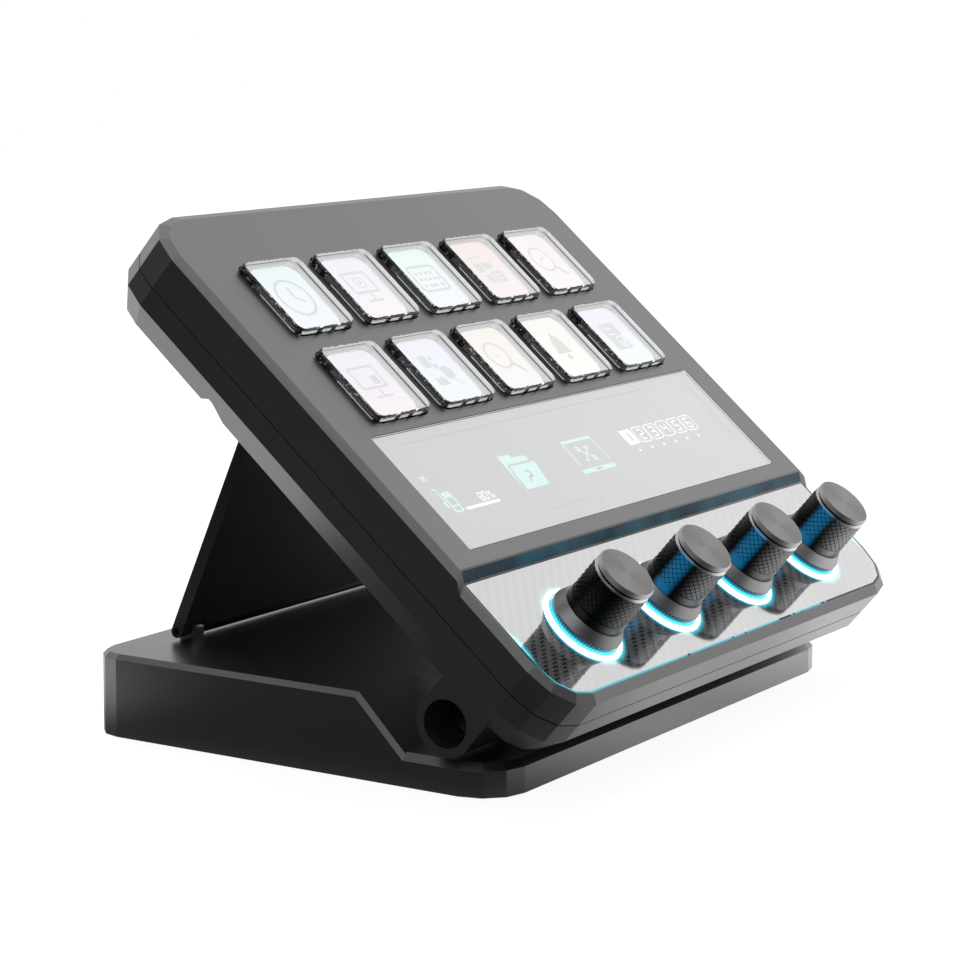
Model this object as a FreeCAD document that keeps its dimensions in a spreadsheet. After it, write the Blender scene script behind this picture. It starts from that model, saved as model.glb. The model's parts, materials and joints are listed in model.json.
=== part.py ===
import FreeCAD, Part
import math
import os
import re
import Sketcher

# A desk keypad: ten clear display keys, a strip screen and four push-and-turn knobs in a flat unit.
# The unit is hinged at its front to a low base, and a hinged prop plate holds it up at the rear.
# World axes: +X right, +Y to the rear, +Z up, origin in the middle of the base's rubber mat.
# Unit frame: origin on the face plane above the middle of the front wall, +Y along the face to the
# rear, +Z out of the face, so a depth below the face is a negative z.

SIZES = {
    # Base
    "base_width": 136.8,
    "base_front": 46.6,
    "base_rear": 49.6,
    "base_height": 16.8,
    "base_corner": 9.0,
    "base_rear_corner": 7.0,
    "base_edge": 1.0,
    "ramp_edge": 0.9,
    "base_wall": 2.2,
    "tray_height": 6.6,
    "tray_edge": 1.4,
    "ramp_start": 31.6,
    "ramp_run": 10.2,
    "block_width": 96.4,
    "block_wall": 3.0,
    "cover_thick": 1.6,
    "cover_lift": 0.15,
    "cover_gap": 0.2,
    "mat_width": 108.0,
    "mat_depth": 80.0,
    "mat_thick": 1.1,
    "mat_corner": 6.0,
    "base_boss": 3.2,
    "base_screw_inset": 8.0,
    "base_screw_end": 10.6,
    # Hinge of the unit
    "tilt": 40.4,
    "hinge_inset": 11.26,
    "hinge_height": 13.7,
    "hinge_in": 16.88,
    "hinge_depth": 24.23,
    "hinge_gap": 0.3,
    "lug_span": 138.6,
    "lug_radius": 6.25,
    "lug_bore": 4.65,
    "lug_bore_depth": 12.0,
    "knuckle_radius": 5.5,
    "pin_radius": 2.5,
    "pin_gap": 0.06,
    "pin_head_radius": 4.2,
    "pin_head": 2.4,
    "pin_grip": 10.0,
    "pin_socket": 1.7,
    "pin_socket_depth": 1.5,
    "fit_gap": 0.02,
    # Prop plate
    "prop_inset": 8.94,
    "prop_height": 18.6,
    "prop_width": 103.0,
    "prop_thick": 2.6,
    "prop_reach": 55.4,
    "prop_barrel": 1.5,
    "prop_pin_radius": 0.7,
    "prop_pin_gap": 0.05,
    "prop_pin_short": 1.0,
    "ear_place": 46.4,
    "ear_width": 4.0,
    "ear_gap": 0.3,
    "swing_gap": 0.3,
    "stow_depth": 0.7,
    "stow_gap": 0.6,
    "prop_slot_width": 34.0,
    # Shells
    "unit_width": 142.2,
    "unit_length": 127.2,
    "unit_thick": 18.3,
    "unit_corner": 10.8,
    "bevel_inset": 1.8,
    "bevel_drop": 1.0,
    "split_depth": 8.4,
    "split_gap": 0.25,
    "skirt_depth": 12.95,
    "under_inset": 2.9,
    "face_thick": 1.2,
    "top_wall": 2.0,
    "low_wall": 3.4,
    "floor_thick": 2.4,
    "lip_inset": 2.1,
    "lip_height": 1.2,
    "step_edge": 33.4,
    "step_run": 2.4,
    "step_drop": 1.64,
    "step_wall": 1.2,
    "groove_depth": 1.8,
    "groove_front": 5.1,
    "groove_slope": 3.9,
    "groove_flat": 1.1,
    "groove_rear": 1.7,
    "recess_roof": 1.4,
    "recess_border": 3.0,
    "shell_boss": 2.6,
    "shell_screw_x": 64.9,
    "shell_screw_front": 31.5,
    "shell_screw_rear": 102.0,
    "boss_gap": 0.05,
    # Fasteners
    "screw_radius": 1.25,
    "screw_head": 2.0,
    "screw_head_high": 1.6,
    "screw_sink": 2.0,
    "screw_bite": 3.6,
    "small_screw": 0.95,
    "small_head": 1.8,
    "small_head_high": 1.1,
    "small_bite": 3.4,
    "small_boss": 2.0,
    # Knob panel
    "panel_front": 2.15,
    "panel_inset": 2.15,
    "panel_corner": 8.6,
    "panel_thick": 1.0,
    "guide_width": 0.3,
    "panel_gap": 0.1,
    "shelf_thick": 1.2,
    "bar_side_inset": 2.2,
    "bar_depth": 0.8,
    "bar_top_share": 0.16,
    "bar_low_share": 0.86,
    # Screen
    "screen_width": 123.4,
    "screen_height": 29.2,
    "screen_start": 36.87,
    "screen_corner": 0.8,
    "screen_gap": 0.1,
    "screen_sink": 0.05,
    "module_border": 1.2,
    "module_thick": 3.4,
    "module_corner": 1.0,
    # Keys
    "cap_side": 19.1,
    "cap_pitch_x": 23.6,
    "cap_pitch_y": 23.7,
    "lower_row": 78.4,
    "cap_corner": 2.2,
    "cap_edge": 0.5,
    "cap_rise": 1.5,
    "cap_depth": 2.4,
    "cap_gap": 0.25,
    "flange_width": 0.6,
    "flange_gap": 0.3,
    "key_travel": 0.8,
    "press_gap": 0.3,
    "mat_sheet": 0.5,
    "tile_side": 14.6,
    "tile_corner": 1.6,
    "display_thick": 1.6,
    "display_border": 1.2,
    "mat_border": 0.5,
    "mat_window": 16.2,
    # Boards
    "board_thick": 1.6,
    "board_width": 124.0,
    "board_start": 69.6,
    "board_end": 124.0,
    "board_corner": 1.5,
    "board_screw_x": 60.3,
    "board_screw_y": 72.6,
    "board_screw_rear_x": 50.0,
    "board_screw_rear_y": 116.0,
    "knob_board_width": 118.0,
    "knob_board_depth": 22.0,
    "column_radius": 2.0,
    "usb_width": 8.94,
    "usb_height": 3.26,
    "usb_length": 8.2,
    "usb_wall": 0.3,
    "usb_mouth_depth": 6.2,
    "usb_tongue": 0.7,
    "usb_tongue_width": 6.7,
    "usb_sink": 0.6,
    "usb_slot_gap": 0.35,
    # Knobs
    "knob_pitch": 30.88,
    "knob_line": 15.57,
    "knob_push": 0.5,
    "ring_outer": 9.6,
    "ring_inner": 8.0,
    "ring_height": 1.0,
    "ring_wall": 0.45,
    "ring_edge": 0.25,
    "ring_shoulder": 0.8,
    "ring_crown": 0.65,
    "skirt_lift": 0.7,
    "skirt_radius": 7.7,
    "skirt_band": 1.8,
    "skirt_top": 6.6,
    "skirt_height": 4.0,
    "sleeve_radius": 6.25,
    "knurl_start": 5.8,
    "knurl_end": 12.7,
    "knurl_deep": 0.2,
    "sleeve_end": 12.95,
    "sleeve_groove": 0.12,
    "groove_high": 0.2,
    "neck_radius": 5.6,
    "neck_height": 13.55,
    "cap_radius": 6.05,
    "knob_height": 14.5,
    "cap_chamfer": 0.25,
    "shaft_radius": 3.0,
    "shaft_gap": 0.05,
    "shaft_top": 10.5,
    "bush_radius": 3.5,
    "bush_hole": 3.65,
    "bush_rise": 1.2,
    "hub_radius": 4.4,
    "hub_height": 2.8,
    "encoder_side": 12.2,
    "encoder_high": 6.4,
    "encoder_corner": 0.6,
    "chamber_radius": 4.4,
    "chamber_floor": 0.4,
    "chamber_roof": 2.0,
    "flange_radius": 4.0,
    "flange_high": 0.8,
    "plunger_radius": 2.6,
    "plunger_high": 1.0,
    "stack_gap": 0.05,
    # Cutting
    "over": 5.0,
}

KNURL_COLUMNS = 28
KNURL_ROWS = 11
CORNER_FACETS = 3
RIGHT_ANGLE = 90

os.makedirs("parts", exist_ok=True)
doc = FreeCAD.newDocument("keypad")
sheet = doc.addObject("Spreadsheet::Sheet", "sizes")
ORDER = []


def fill_sheet():
    for row, (alias, value) in enumerate(SIZES.items(), 1):
        sheet.set("A%d" % row, alias)
        sheet.set("B%d" % row, str(value))
        sheet.setAlias("B%d" % row, alias)
    doc.recompute()


def link(text):
    """Turns the bare names of sizes in a formula into references to the sheet."""
    return re.sub(r"[a-z][a-z0-9_]*", lambda m: "sizes." + m.group() if m.group() in SIZES else m.group(), text)


def size(text):
    """The present value of a formula of sizes, as a plain number."""
    return float(sheet.evalExpression(link(text)))


def bind(thing, **formulas):
    for name, text in formulas.items():
        thing.setExpression(name, link(text))
    return thing


def place(thing, x="0", y="0", z="0"):
    for axis, text in zip("xyz", (x, y, z)):
        thing.setExpression(".Placement.Base." + axis, link(text))
    return thing


def turn(thing, axis, angle):
    thing.Placement = FreeCAD.Placement(thing.Placement.Base, FreeCAD.Rotation(FreeCAD.Vector(*axis), 1))
    thing.setExpression(".Placement.Rotation.Angle", link(angle))
    return thing


def along_x(thing, x="0", y="0", z="0"):
    """Lays a piece made along +Z on its side, along +X."""
    thing.Placement = FreeCAD.Placement(FreeCAD.Vector(), FreeCAD.Rotation(FreeCAD.Vector(0, 1, 0), RIGHT_ANGLE))
    return place(thing, x, y, z)


HINGE_Y = "(hinge_inset - base_front)"
PROP_Y = "(base_rear - prop_inset)"
PIVOT_RUN = "(base_rear + base_front - prop_inset - hinge_inset)"
PIVOT_RISE = "(prop_height - hinge_height)"
# The prop's pivot in the unit frame, and the plate's direction there, measured from the face's +Y.
PIVOT_Y = "(hinge_in + %s * cos(tilt) + %s * sin(tilt))" % (PIVOT_RUN, PIVOT_RISE)
PIVOT_Z = "(%s * cos(tilt) - %s * sin(tilt) - hinge_depth)" % (PIVOT_RISE, PIVOT_RUN)
PROP_ANGLE = "asin((groove_depth - unit_thick - swing_gap - %s) / prop_reach)" % PIVOT_Z
TIP_Y = "(%s + prop_reach * cos(%s))" % (PIVOT_Y, PROP_ANGLE)


def on_unit(thing, x="0", y="0", z="0"):
    """Places a piece whose own origin is at x, y, z of the unit frame."""
    turn(thing, (1, 0, 0), "tilt")
    return place(
        thing, x,
        "%s + ((%s) - hinge_in) * cos(tilt) - ((%s) + hinge_depth) * sin(tilt)" % (HINGE_Y, y, z),
        "hinge_height + ((%s) - hinge_in) * sin(tilt) + ((%s) + hinge_depth) * cos(tilt)" % (y, z))


def box(name, length, width, height, x="0", y="0", z="0"):
    """A block centred on x, from y to y + width and from z to z + height."""
    thing = bind(doc.addObject("Part::Box", name), Length=length, Width=width, Height=height)
    return place(thing, "(%s) - (%s) / 2" % (x, length), y, z)


def rod(name, radius, height, x="0", y="0", z="0"):
    thing = bind(doc.addObject("Part::Cylinder", name), Radius=radius, Height=height)
    return place(thing, x, y, z)


def cone(name, low, high, height, x="0", y="0", z="0"):
    thing = bind(doc.addObject("Part::Cone", name), Radius1=low, Radius2=high, Height=height)
    return place(thing, x, y, z)


def fuse(name, shapes):
    thing = doc.addObject("Part::MultiFuse", name)
    thing.Shapes = shapes
    thing.Refine = True
    return thing


def cut(name, base, tools):
    thing = doc.addObject("Part::Cut", name)
    thing.Base = base
    thing.Tool = tools[0] if len(tools) == 1 else fuse(name + "_tools", tools)
    thing.Refine = True
    return thing


def common(name, first, second):
    thing = doc.addObject("Part::MultiCommon", name)
    thing.Shapes = [first, second]
    return thing


def polygon(sketch, points):
    """A closed outline of straight lines, each corner held at its two formulas."""
    spots = [FreeCAD.Vector(size(x), size(y), 0) for x, y in points]
    count = len(points)
    for i in range(count):
        sketch.addGeometry(Part.LineSegment(spots[i], spots[(i + 1) % count]))
    for i in range(count):
        sketch.addConstraint(Sketcher.Constraint("Coincident", i, 2, (i + 1) % count, 1))
        for kind, text, value in (("DistanceX", points[i][0], spots[i].x), ("DistanceY", points[i][1], spots[i].y)):
            index = sketch.addConstraint(Sketcher.Constraint(kind, -1, 1, i, 1, value))
            sketch.setExpression("Constraints[%d]" % index, link(text))
    return sketch


def plate(name, points, low, high):
    """A flat piece with the outline points, from height low to height high."""
    sketch = polygon(doc.addObject("Sketcher::SketchObject", name + "_outline"), points)
    place(sketch, z=low)
    thing = doc.addObject("Part::Extrusion", name)
    thing.Base = sketch
    thing.DirMode = "Normal"
    thing.Solid = True
    return bind(thing, LengthFwd="(%s) - (%s)" % (high, low))


def profile(name, points, width, x="0"):
    """A bar along X, centred on x, whose cross-section has the y, z points."""
    sketch = polygon(doc.addObject("Sketcher::SketchObject", name + "_section"), points)
    sketch.Placement = FreeCAD.Placement(FreeCAD.Vector(), FreeCAD.Rotation(FreeCAD.Vector(1, 1, 1), 120))
    place(sketch, x=x)
    thing = doc.addObject("Part::Extrusion", name)
    thing.Base = sketch
    thing.DirMode = "Normal"
    thing.Solid = True
    thing.Symmetric = True
    return bind(thing, LengthFwd=width)


def taper(name, low_points, low, high_points, high):
    """A bevelled band between two outlines with the same number of corners."""
    ends = []
    for part, points, level in (("low", low_points, low), ("high", high_points, high)):
        sketch = polygon(doc.addObject("Sketcher::SketchObject", "%s_%s" % (name, part)), points)
        ends.append(place(sketch, z=level))
    thing = doc.addObject("Part::Loft", name)
    thing.Sections = ends
    thing.Solid = True
    thing.Ruled = True
    return thing


def corner(x_side, y_side, x, y, radius, inset, quarter):
    """Points of one faceted corner, anticlockwise, in the numbered quarter of a full turn."""
    if radius == "0":
        return [("%s * ((%s) - (%s))" % (x_side, x, inset), "(%s) - (%s) * (%s)" % (y, y_side, inset))]
    points = []
    for i in range(CORNER_FACETS + 1):
        angle = RIGHT_ANGLE * (quarter + i / CORNER_FACETS)
        points.append((
            "%s * ((%s) - (%s)) + ((%s) - (%s)) * cos(%s)" % (x_side, x, radius, radius, inset, angle),
            "(%s) - (%s) * (%s) + ((%s) - (%s)) * sin(%s)" % (y, y_side, radius, radius, inset, angle)))
    return points


def outline(half_width, front, rear, front_radius, rear_radius, inset="0"):
    """A rectangle with faceted corners, drawn in on all sides by inset."""
    return (corner("1", "1", half_width, rear, rear_radius, inset, 0)
            + corner("-1", "1", half_width, rear, rear_radius, inset, 1)
            + corner("-1", "-1", half_width, front, front_radius, inset, 2)
            + corner("1", "-1", half_width, front, front_radius, inset, 3))


def feature(body, kind, name, **formulas):
    thing = body.newObject("PartDesign::" + kind, name)
    return bind(thing, **formulas)


def sketch_on(body, role, name, **offset):
    sketch = body.newObject("Sketcher::SketchObject", name)
    plane = [item for item in body.Origin.OriginFeatures if item.Role == role][0]
    sketch.AttachmentSupport = [(plane, "")]
    sketch.MapMode = "FlatFace"
    for axis, text in offset.items():
        sketch.setExpression(".AttachmentOffset.Base." + axis, link(text))
    return sketch


def rectangle(length, width, x="0", y="0"):
    return [("(%s) %s (%s) / 2" % (x, a, length), "(%s) %s (%s) / 2" % (y, b, width))
            for a, b in (("-", "-"), ("+", "-"), ("+", "+"), ("-", "+"))]


def upright_edges(shape):
    names = []
    for i, edge in enumerate(shape.Edges):
        ends = [vertex.Point for vertex in edge.Vertexes]
        if len(ends) == 2 and (ends[0] - ends[1]).cross(FreeCAD.Vector(0, 0, 1)).Length < 1e-6:
            names.append("Edge%d" % (i + 1))
    return names


def edges_at(shape, level):
    names = []
    for i, edge in enumerate(shape.Edges):
        if all(abs(vertex.Point.z - level) < 1e-6 for vertex in edge.Vertexes):
            names.append("Edge%d" % (i + 1))
    return names


def rounded_block(name, length, width, low, high, radius):
    """A padded rectangle about the origin with its four upright edges rounded."""
    body = doc.addObject("PartDesign::Body", name)
    sketch = polygon(sketch_on(body, "XY_Plane", name + "_outline", z=low), rectangle(length, width))
    pad = feature(body, "Pad", name + "_pad", Length="(%s) - (%s)" % (high, low))
    pad.Profile = sketch
    doc.recompute()
    rounding = feature(body, "Fillet", name + "_corners", Radius=radius)
    rounding.Base = (pad, upright_edges(pad.Shape))
    body.Tip = rounding
    doc.recompute()
    return body


def ring_body(name, points):
    """A turned piece: the radius, height points revolved about the upright axis."""
    body = doc.addObject("PartDesign::Body", name)
    sketch = polygon(sketch_on(body, "XZ_Plane", name + "_section"), points)
    turned = feature(body, "Revolution", name + "_turned")
    turned.Profile = sketch
    turned.ReferenceAxis = (sketch, ["V_Axis"])
    turned.Angle = 4 * RIGHT_ANGLE
    body.Tip = turned
    return body


def keep(thing, label):
    """Names a finished piece of the keypad, to be written out at the end."""
    thing.Label = label
    ORDER.append(thing)
    return thing


fill_sheet()

# Base housing: a moulded tray with a raised flat deck, a hinge block in front and two ears for the prop.
BASE_FRONT = "(0 - base_front)"


def base_outline(inset="0"):
    return outline("base_width / 2", BASE_FRONT, "base_rear", "base_corner", "base_rear_corner", inset)


def base_housing():
    rim = "(tray_height - tray_edge)"
    tray = plate("tray", base_outline(), "cover_lift", rim)
    tray_top = taper("tray_top", base_outline(), rim, base_outline("tray_edge"), "tray_height")
    deck_low = plate("deck_low", base_outline(), rim, "base_height - base_edge")
    deck_top = taper("deck_top", base_outline(), "base_height - base_edge", base_outline("base_edge"), "base_height")
    ramp_y = "(ramp_start + %s)" % BASE_FRONT
    slope = "ramp_run / (base_height - tray_height)"
    front_cut = profile("front_cut", [
        ("%s - over" % BASE_FRONT, "tray_height - tray_edge - over"),
        ("%s - over" % BASE_FRONT, "base_height + over"),
        ("%s + over * %s" % (ramp_y, slope), "base_height + over"),
        ("%s - (base_height - tray_height + tray_edge + over) * %s" % (ramp_y, slope), "tray_height - tray_edge - over"),
    ], "base_width + 2 * over")
    side_cuts = []
    for side in ("-", "+"):
        name = "left" if side == "-" else "right"
        edge = "0 %s (base_width / 2 - ramp_edge)" % side
        wall = "0 %s base_width / 2" % side
        away = "0 %s (base_width / 2 + over)" % side
        wedge = plate("ramp_bevel_%s" % name, [(edge, "0"), (wall, "ramp_edge"), (away, "ramp_edge"),
                                               (away, "0 - over"), (edge, "0 - over")], "0 - base_height - over", "over")
        side_cuts.append(place(turn(wedge, (1, 0, 0), "0 deg - atan(%s)" % slope), "0", ramp_y, "base_height"))
    deck = cut("deck", fuse("deck_whole", [deck_low, deck_top]), [front_cut] + side_cuts)
    block = box("hinge_block", "block_width", "ramp_start - hinge_inset", "base_height - tray_height",
                "0", HINGE_Y, "tray_height")
    knuckle = along_x(rod("hinge_knuckle", "knuckle_radius", "block_width"), "0 - block_width / 2", HINGE_Y, "hinge_height")
    ears = []
    for side in ("-", "+"):
        name = "left" if side == "-" else "right"
        middle = "0 %s ear_place" % side
        ears.append(along_x(rod("ear_%s" % name, "prop_barrel", "ear_width"),
                            "%s - ear_width / 2" % middle, PROP_Y, "prop_height"))
        ears.append(box("ear_foot_%s" % name, "ear_width", "2 * prop_barrel", "prop_height - base_height + base_edge",
                        middle, "%s - prop_barrel" % PROP_Y, "base_height - base_edge"))
    outer = fuse("base_outer", [tray, tray_top, deck, block, knuckle] + ears)

    high_cavity = plate("high_cavity", outline(
        "base_width / 2 - base_wall", "%s + block_wall" % ramp_y, "base_rear - base_wall",
        "0", "base_rear_corner - base_wall"), "0", "base_height - base_wall")
    low_cavity = plate("low_cavity", outline(
        "base_width / 2 - base_wall", "%s + base_wall" % BASE_FRONT, "base_rear - base_wall",
        "base_corner - base_wall", "base_rear_corner - base_wall"), "0", "tray_height - base_wall")
    bores = []
    for side in ("-", "+"):
        name = "left" if side == "-" else "right"
        start = "0 - block_width / 2" if side == "-" else "block_width / 2 - pin_grip"
        bores.append(along_x(rod("pin_bore_%s" % name, "pin_radius + fit_gap", "pin_grip"), start, HINGE_Y, "hinge_height"))
    bores.append(along_x(rod("ear_bore", "prop_pin_radius + fit_gap", "prop_width"), "0 - prop_width / 2",
                         PROP_Y, "prop_height"))
    hollow = cut("base_hollow", outer, [high_cavity, low_cavity] + bores)
    bosses = []
    holes = []
    for i, (x, y) in enumerate(BASE_SCREWS):
        roof = "base_height - base_wall" if i > 1 else "tray_height - base_wall"
        bosses.append(rod("base_boss_%d" % i, "base_boss", "%s - (%s)" % (roof, COVER_TOP), x, y, COVER_TOP))
        holes.append(rod("base_boss_hole_%d" % i, "screw_radius + fit_gap", "screw_bite", x, y, COVER_TOP))
    return cut("housing", fuse("housing_bosses", [hollow] + bosses), holes)


COVER_TOP = "(cover_lift + cover_thick)"
BASE_SCREWS = [("%s (base_width / 2 - base_screw_inset)" % x, y)
               for y in ("base_screw_end - base_front", "base_rear - base_screw_end") for x in ("0 -", "0 +")]


def base_cover():
    cover = plate("cover_sheet", outline(
        "base_width / 2 - base_wall - cover_gap", "%s + base_wall + cover_gap" % BASE_FRONT,
        "base_rear - base_wall - cover_gap", "base_corner - base_wall", "base_rear_corner - base_wall"),
        "cover_lift", COVER_TOP)
    seat = rounded_block("mat_seat", "mat_width", "mat_depth", "cover_lift - over", "mat_thick", "mat_corner")
    holes = []
    for i, (x, y) in enumerate(BASE_SCREWS):
        holes.append(rod("cover_hole_%d" % i, "screw_radius + boss_gap", "cover_thick + 2 * over", x, y, "cover_lift - over"))
        holes.append(cone("cover_sink_%d" % i, "screw_head + boss_gap", "screw_radius + boss_gap",
                          "screw_head - screw_radius", x, y, "cover_lift"))
    return cut("cover", cover, [seat] + holes)


def base_screws():
    screws = []
    for i, (x, y) in enumerate(BASE_SCREWS):
        head = cone("base_screw_head_%d" % i, "screw_head", "screw_radius", "screw_head - screw_radius", x, y, "cover_lift")
        shank = rod("base_screw_shank_%d" % i, "screw_radius", "cover_thick + screw_bite - stack_gap - pin_gap", x, y, "cover_lift")
        screws.append(fuse("base_screw_%d" % i, [head, shank]))
    group = doc.addObject("Part::Compound", "base_screw_set")
    group.Links = screws
    return group


keep(base_housing(), "base_housing")
keep(base_cover(), "base_cover")
keep(rounded_block("mat", "mat_width", "mat_depth", "0", "mat_thick", "mat_corner"), "grip_mat")
keep(base_screws(), "base_screws")


# Hinge pins: shoulder screws, each sunk in the wide bore of a lug and fixed in the base's hinge block.
def hinge_pin(side):
    head_start = "(lug_span / 2 - lug_bore_depth + pin_gap)"
    shank = rod("pin_shank_" + side, "pin_radius", "%s - block_width / 2 + pin_grip" % head_start,
                z="block_width / 2 - pin_grip")
    head = rod("pin_head_" + side, "pin_head_radius", "pin_head", z=head_start)
    socket = rod("pin_socket_" + side, "pin_socket", "pin_socket_depth + over",
                 z="%s + pin_head - pin_socket_depth" % head_start)
    pin = cut("pin_" + side, fuse("pin_whole_" + side, [shank, head]), [socket])
    turned = RIGHT_ANGLE if side == "right" else -RIGHT_ANGLE
    pin.Placement = FreeCAD.Placement(FreeCAD.Vector(), FreeCAD.Rotation(FreeCAD.Vector(0, 1, 0), turned))
    return place(pin, "0", HINGE_Y, "hinge_height")


keep(hinge_pin("left"), "hinge_pin_left")
keep(hinge_pin("right"), "hinge_pin_right")


# Prop plate: a flat plate with a rolled foot that turns on a long pin between the base's ears.
# It is made lying along +Y from its pivot, then stood up at the angle at which its edge meets the unit.
def prop_plate():
    half = "prop_thick / 2"
    sheet_part = box("prop_sheet", "prop_width", "prop_reach - %s" % half, "prop_thick", "0", "0", "0 - %s" % half)
    tip = along_x(rod("prop_tip", half, "prop_width"), "0 - prop_width / 2", "prop_reach - %s" % half, "0")
    foot = along_x(rod("prop_foot", half, "prop_width"), "0 - prop_width / 2", "0", "0")
    inner = "(2 * (ear_place - ear_width / 2 - ear_gap))"
    barrel = along_x(rod("prop_roll", "prop_barrel", inner), "0 - %s / 2" % inner, "0", "0")
    whole = fuse("prop_whole", [sheet_part, tip, foot, barrel])
    cuts = [along_x(rod("prop_bore", "prop_pin_radius + prop_pin_gap", "prop_width + 2 * over"),
                    "0 - prop_width / 2 - over", "0", "0")]
    for side in ("-", "+"):
        name = "left" if side == "-" else "right"
        cuts.append(box("ear_notch_" + name, "ear_width + 2 * ear_gap", "over + prop_barrel + ear_gap", "2 * over",
                        "0 %s ear_place" % side, "0 - over", "0 - over"))
    return cut("prop", whole, cuts)


PROP_WORLD = "%s + tilt * 1 deg" % PROP_ANGLE
prop = turn(prop_plate(), (1, 0, 0), PROP_WORLD)
keep(place(prop, "0", PROP_Y, "prop_height"), "prop_plate")
prop_pin = along_x(rod("prop_rod", "prop_pin_radius", "prop_width - 2 * prop_pin_short"),
                   "prop_pin_short - prop_width / 2", PROP_Y, "prop_height")
keep(prop_pin, "prop_pin")

# Unit: depths below the face that several pieces share.
UNIT_HALF = "unit_width / 2"
SHELF_TOP = "(0 - step_drop - panel_thick)"
SHELF_LOW = "(%s - shelf_thick)" % SHELF_TOP
FLOOR = "(floor_thick - unit_thick)"
SPLIT = "(0 - split_depth)"
LOW_TOP = "(0 - split_depth - split_gap)"
MAT_TOP = "(0 - cap_depth - key_travel - press_gap)"
DISPLAY_TOP = "(%s - mat_sheet)" % MAT_TOP
BOARD_TOP = "(%s - display_thick)" % DISPLAY_TOP
BOARD_LOW = "(%s - board_thick)" % BOARD_TOP
PANEL_TOP = "(0 - step_drop)"
STEP_FOOT = "(step_edge - step_run)"
PANEL_REAR = "(%s - panel_gap)" % STEP_FOOT
ENCODER_TOP = "(%s - stack_gap)" % SHELF_LOW
ENCODER_LOW = "(%s - encoder_high)" % ENCODER_TOP
KNOB_BOARD_LOW = "(%s - board_thick)" % ENCODER_LOW
KEYS = [("(%d * cap_pitch_x)" % column, "(lower_row + %d * cap_pitch_y)" % row)
        for row in (1, 0) for column in (-2, -1, 0, 1, 2)]
KNOBS = ["(%s * knob_pitch)" % place_share for place_share in (-1.5, -0.5, 0.5, 1.5)]
SHELL_SCREWS = [("0 %s shell_screw_x" % side, y) for side in "-+" for y in ("shell_screw_front", "shell_screw_rear")]
BOARD_SCREWS = [("0 %s board_screw_x" % side, "board_screw_y") for side in "-+"]
BOARD_SCREWS += [("0 %s board_screw_rear_x" % side, "board_screw_rear_y") for side in "-+"]


def unit_outline(inset="0"):
    return outline(UNIT_HALF, "0", "unit_length", "unit_corner", "unit_corner", inset)


def panel_outline(inset, rear):
    """The knob panel's outline, drawn in by inset: faceted at the front, square against the step."""
    return outline("unit_width / 2 - panel_inset - (%s)" % inset, "panel_front + (%s)" % inset, rear,
                   "panel_corner - (%s)" % inset, "0")


# Top shell: the bevelled face with its key windows, screen window, light-bar slot and knob shelf.
def top_shell():
    upper = [plate("upper_wall", unit_outline(), SPLIT, "0 - bevel_drop"),
             taper("upper_bevel", unit_outline(), "0 - bevel_drop", unit_outline("bevel_inset"), "0")]
    low_edge = "(%s - bevel_drop)" % PANEL_TOP
    lower = [plate("lower_wall", unit_outline(), SPLIT, low_edge),
             taper("lower_bevel", unit_outline(), low_edge, unit_outline("bevel_inset"), PANEL_TOP)]
    step_slope = "step_run / step_drop"
    front = profile("step_cut", [
        ("0 - over", low_edge),
        ("step_edge + %s * %s" % (low_edge, step_slope), low_edge),
        ("step_edge + over * %s" % step_slope, "over"),
        ("0 - over", "over"),
    ], "unit_width + 2 * over")
    upper_part = cut("upper_part", fuse("upper_whole", upper), [front])
    outer = fuse("top_outer", [upper_part] + lower)

    openings = [plate("panel_seat", panel_outline("0 - panel_gap", STEP_FOOT), SHELF_TOP, "over")]
    openings.append(step_bar("bar_seat", "panel_gap / 2"))
    openings.append(plate("cavity_low", unit_outline("top_wall"), "%s - over" % SPLIT, SHELF_LOW))
    openings.append(plate("cavity_high", outline(
        "unit_width / 2 - top_wall", "step_edge + step_wall", "unit_length - top_wall",
        "0", "unit_corner - top_wall"), SHELF_LOW, "0 - face_thick"))
    for i, (x, y) in enumerate(KEYS):
        window = rounded_block("key_window_%d" % (i + 1), "cap_side + 2 * cap_gap", "cap_side + 2 * cap_gap",
                               "0 - face_thick - over", "over", "cap_corner + cap_gap")
        openings.append(place(window, x, y))
    screen_window = rounded_block("screen_window", "screen_width + 2 * screen_gap", "screen_height + 2 * screen_gap",
                                  "0 - face_thick - over", "over", "screen_corner")
    openings.append(place(screen_window, "0", "screen_start + screen_height / 2"))
    for i, x in enumerate(KNOBS):
        openings.append(rod("knob_hole_%d" % (i + 1), "bush_hole", "shelf_thick + 2 * over", x, "knob_line", "%s - over" % SHELF_LOW))
    hollow = cut("top_hollow", outer, openings)

    bosses = [rod("top_boss_%d" % i, "shell_boss", "%s - (%s)" % (SHELF_LOW, LOW_TOP), x, y, LOW_TOP)
              for i, (x, y) in enumerate(SHELL_SCREWS)]
    bosses += [rod("top_boss_rise_%d" % i, "shell_boss", "0 - face_thick - (%s)" % SHELF_LOW, x, y, SHELF_LOW)
               for i, (x, y) in enumerate(SHELL_SCREWS) if y == "shell_screw_rear"]
    bosses += [rod("board_boss_%d" % i, "small_boss", "0 - face_thick - %s" % BOARD_TOP, x, y, BOARD_TOP)
               for i, (x, y) in enumerate(BOARD_SCREWS)]
    holes = [rod("top_boss_hole_%d" % i, "screw_radius + fit_gap", "screw_bite + stack_gap", x, y, LOW_TOP)
             for i, (x, y) in enumerate(SHELL_SCREWS)]
    holes += [rod("board_boss_hole_%d" % i, "small_screw + fit_gap", "small_bite + stack_gap - board_thick", x, y, BOARD_TOP)
              for i, (x, y) in enumerate(BOARD_SCREWS)]
    holes.append(usb_slot())
    return cut("top", fuse("top_bosses", [hollow] + bosses), holes)


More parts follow.
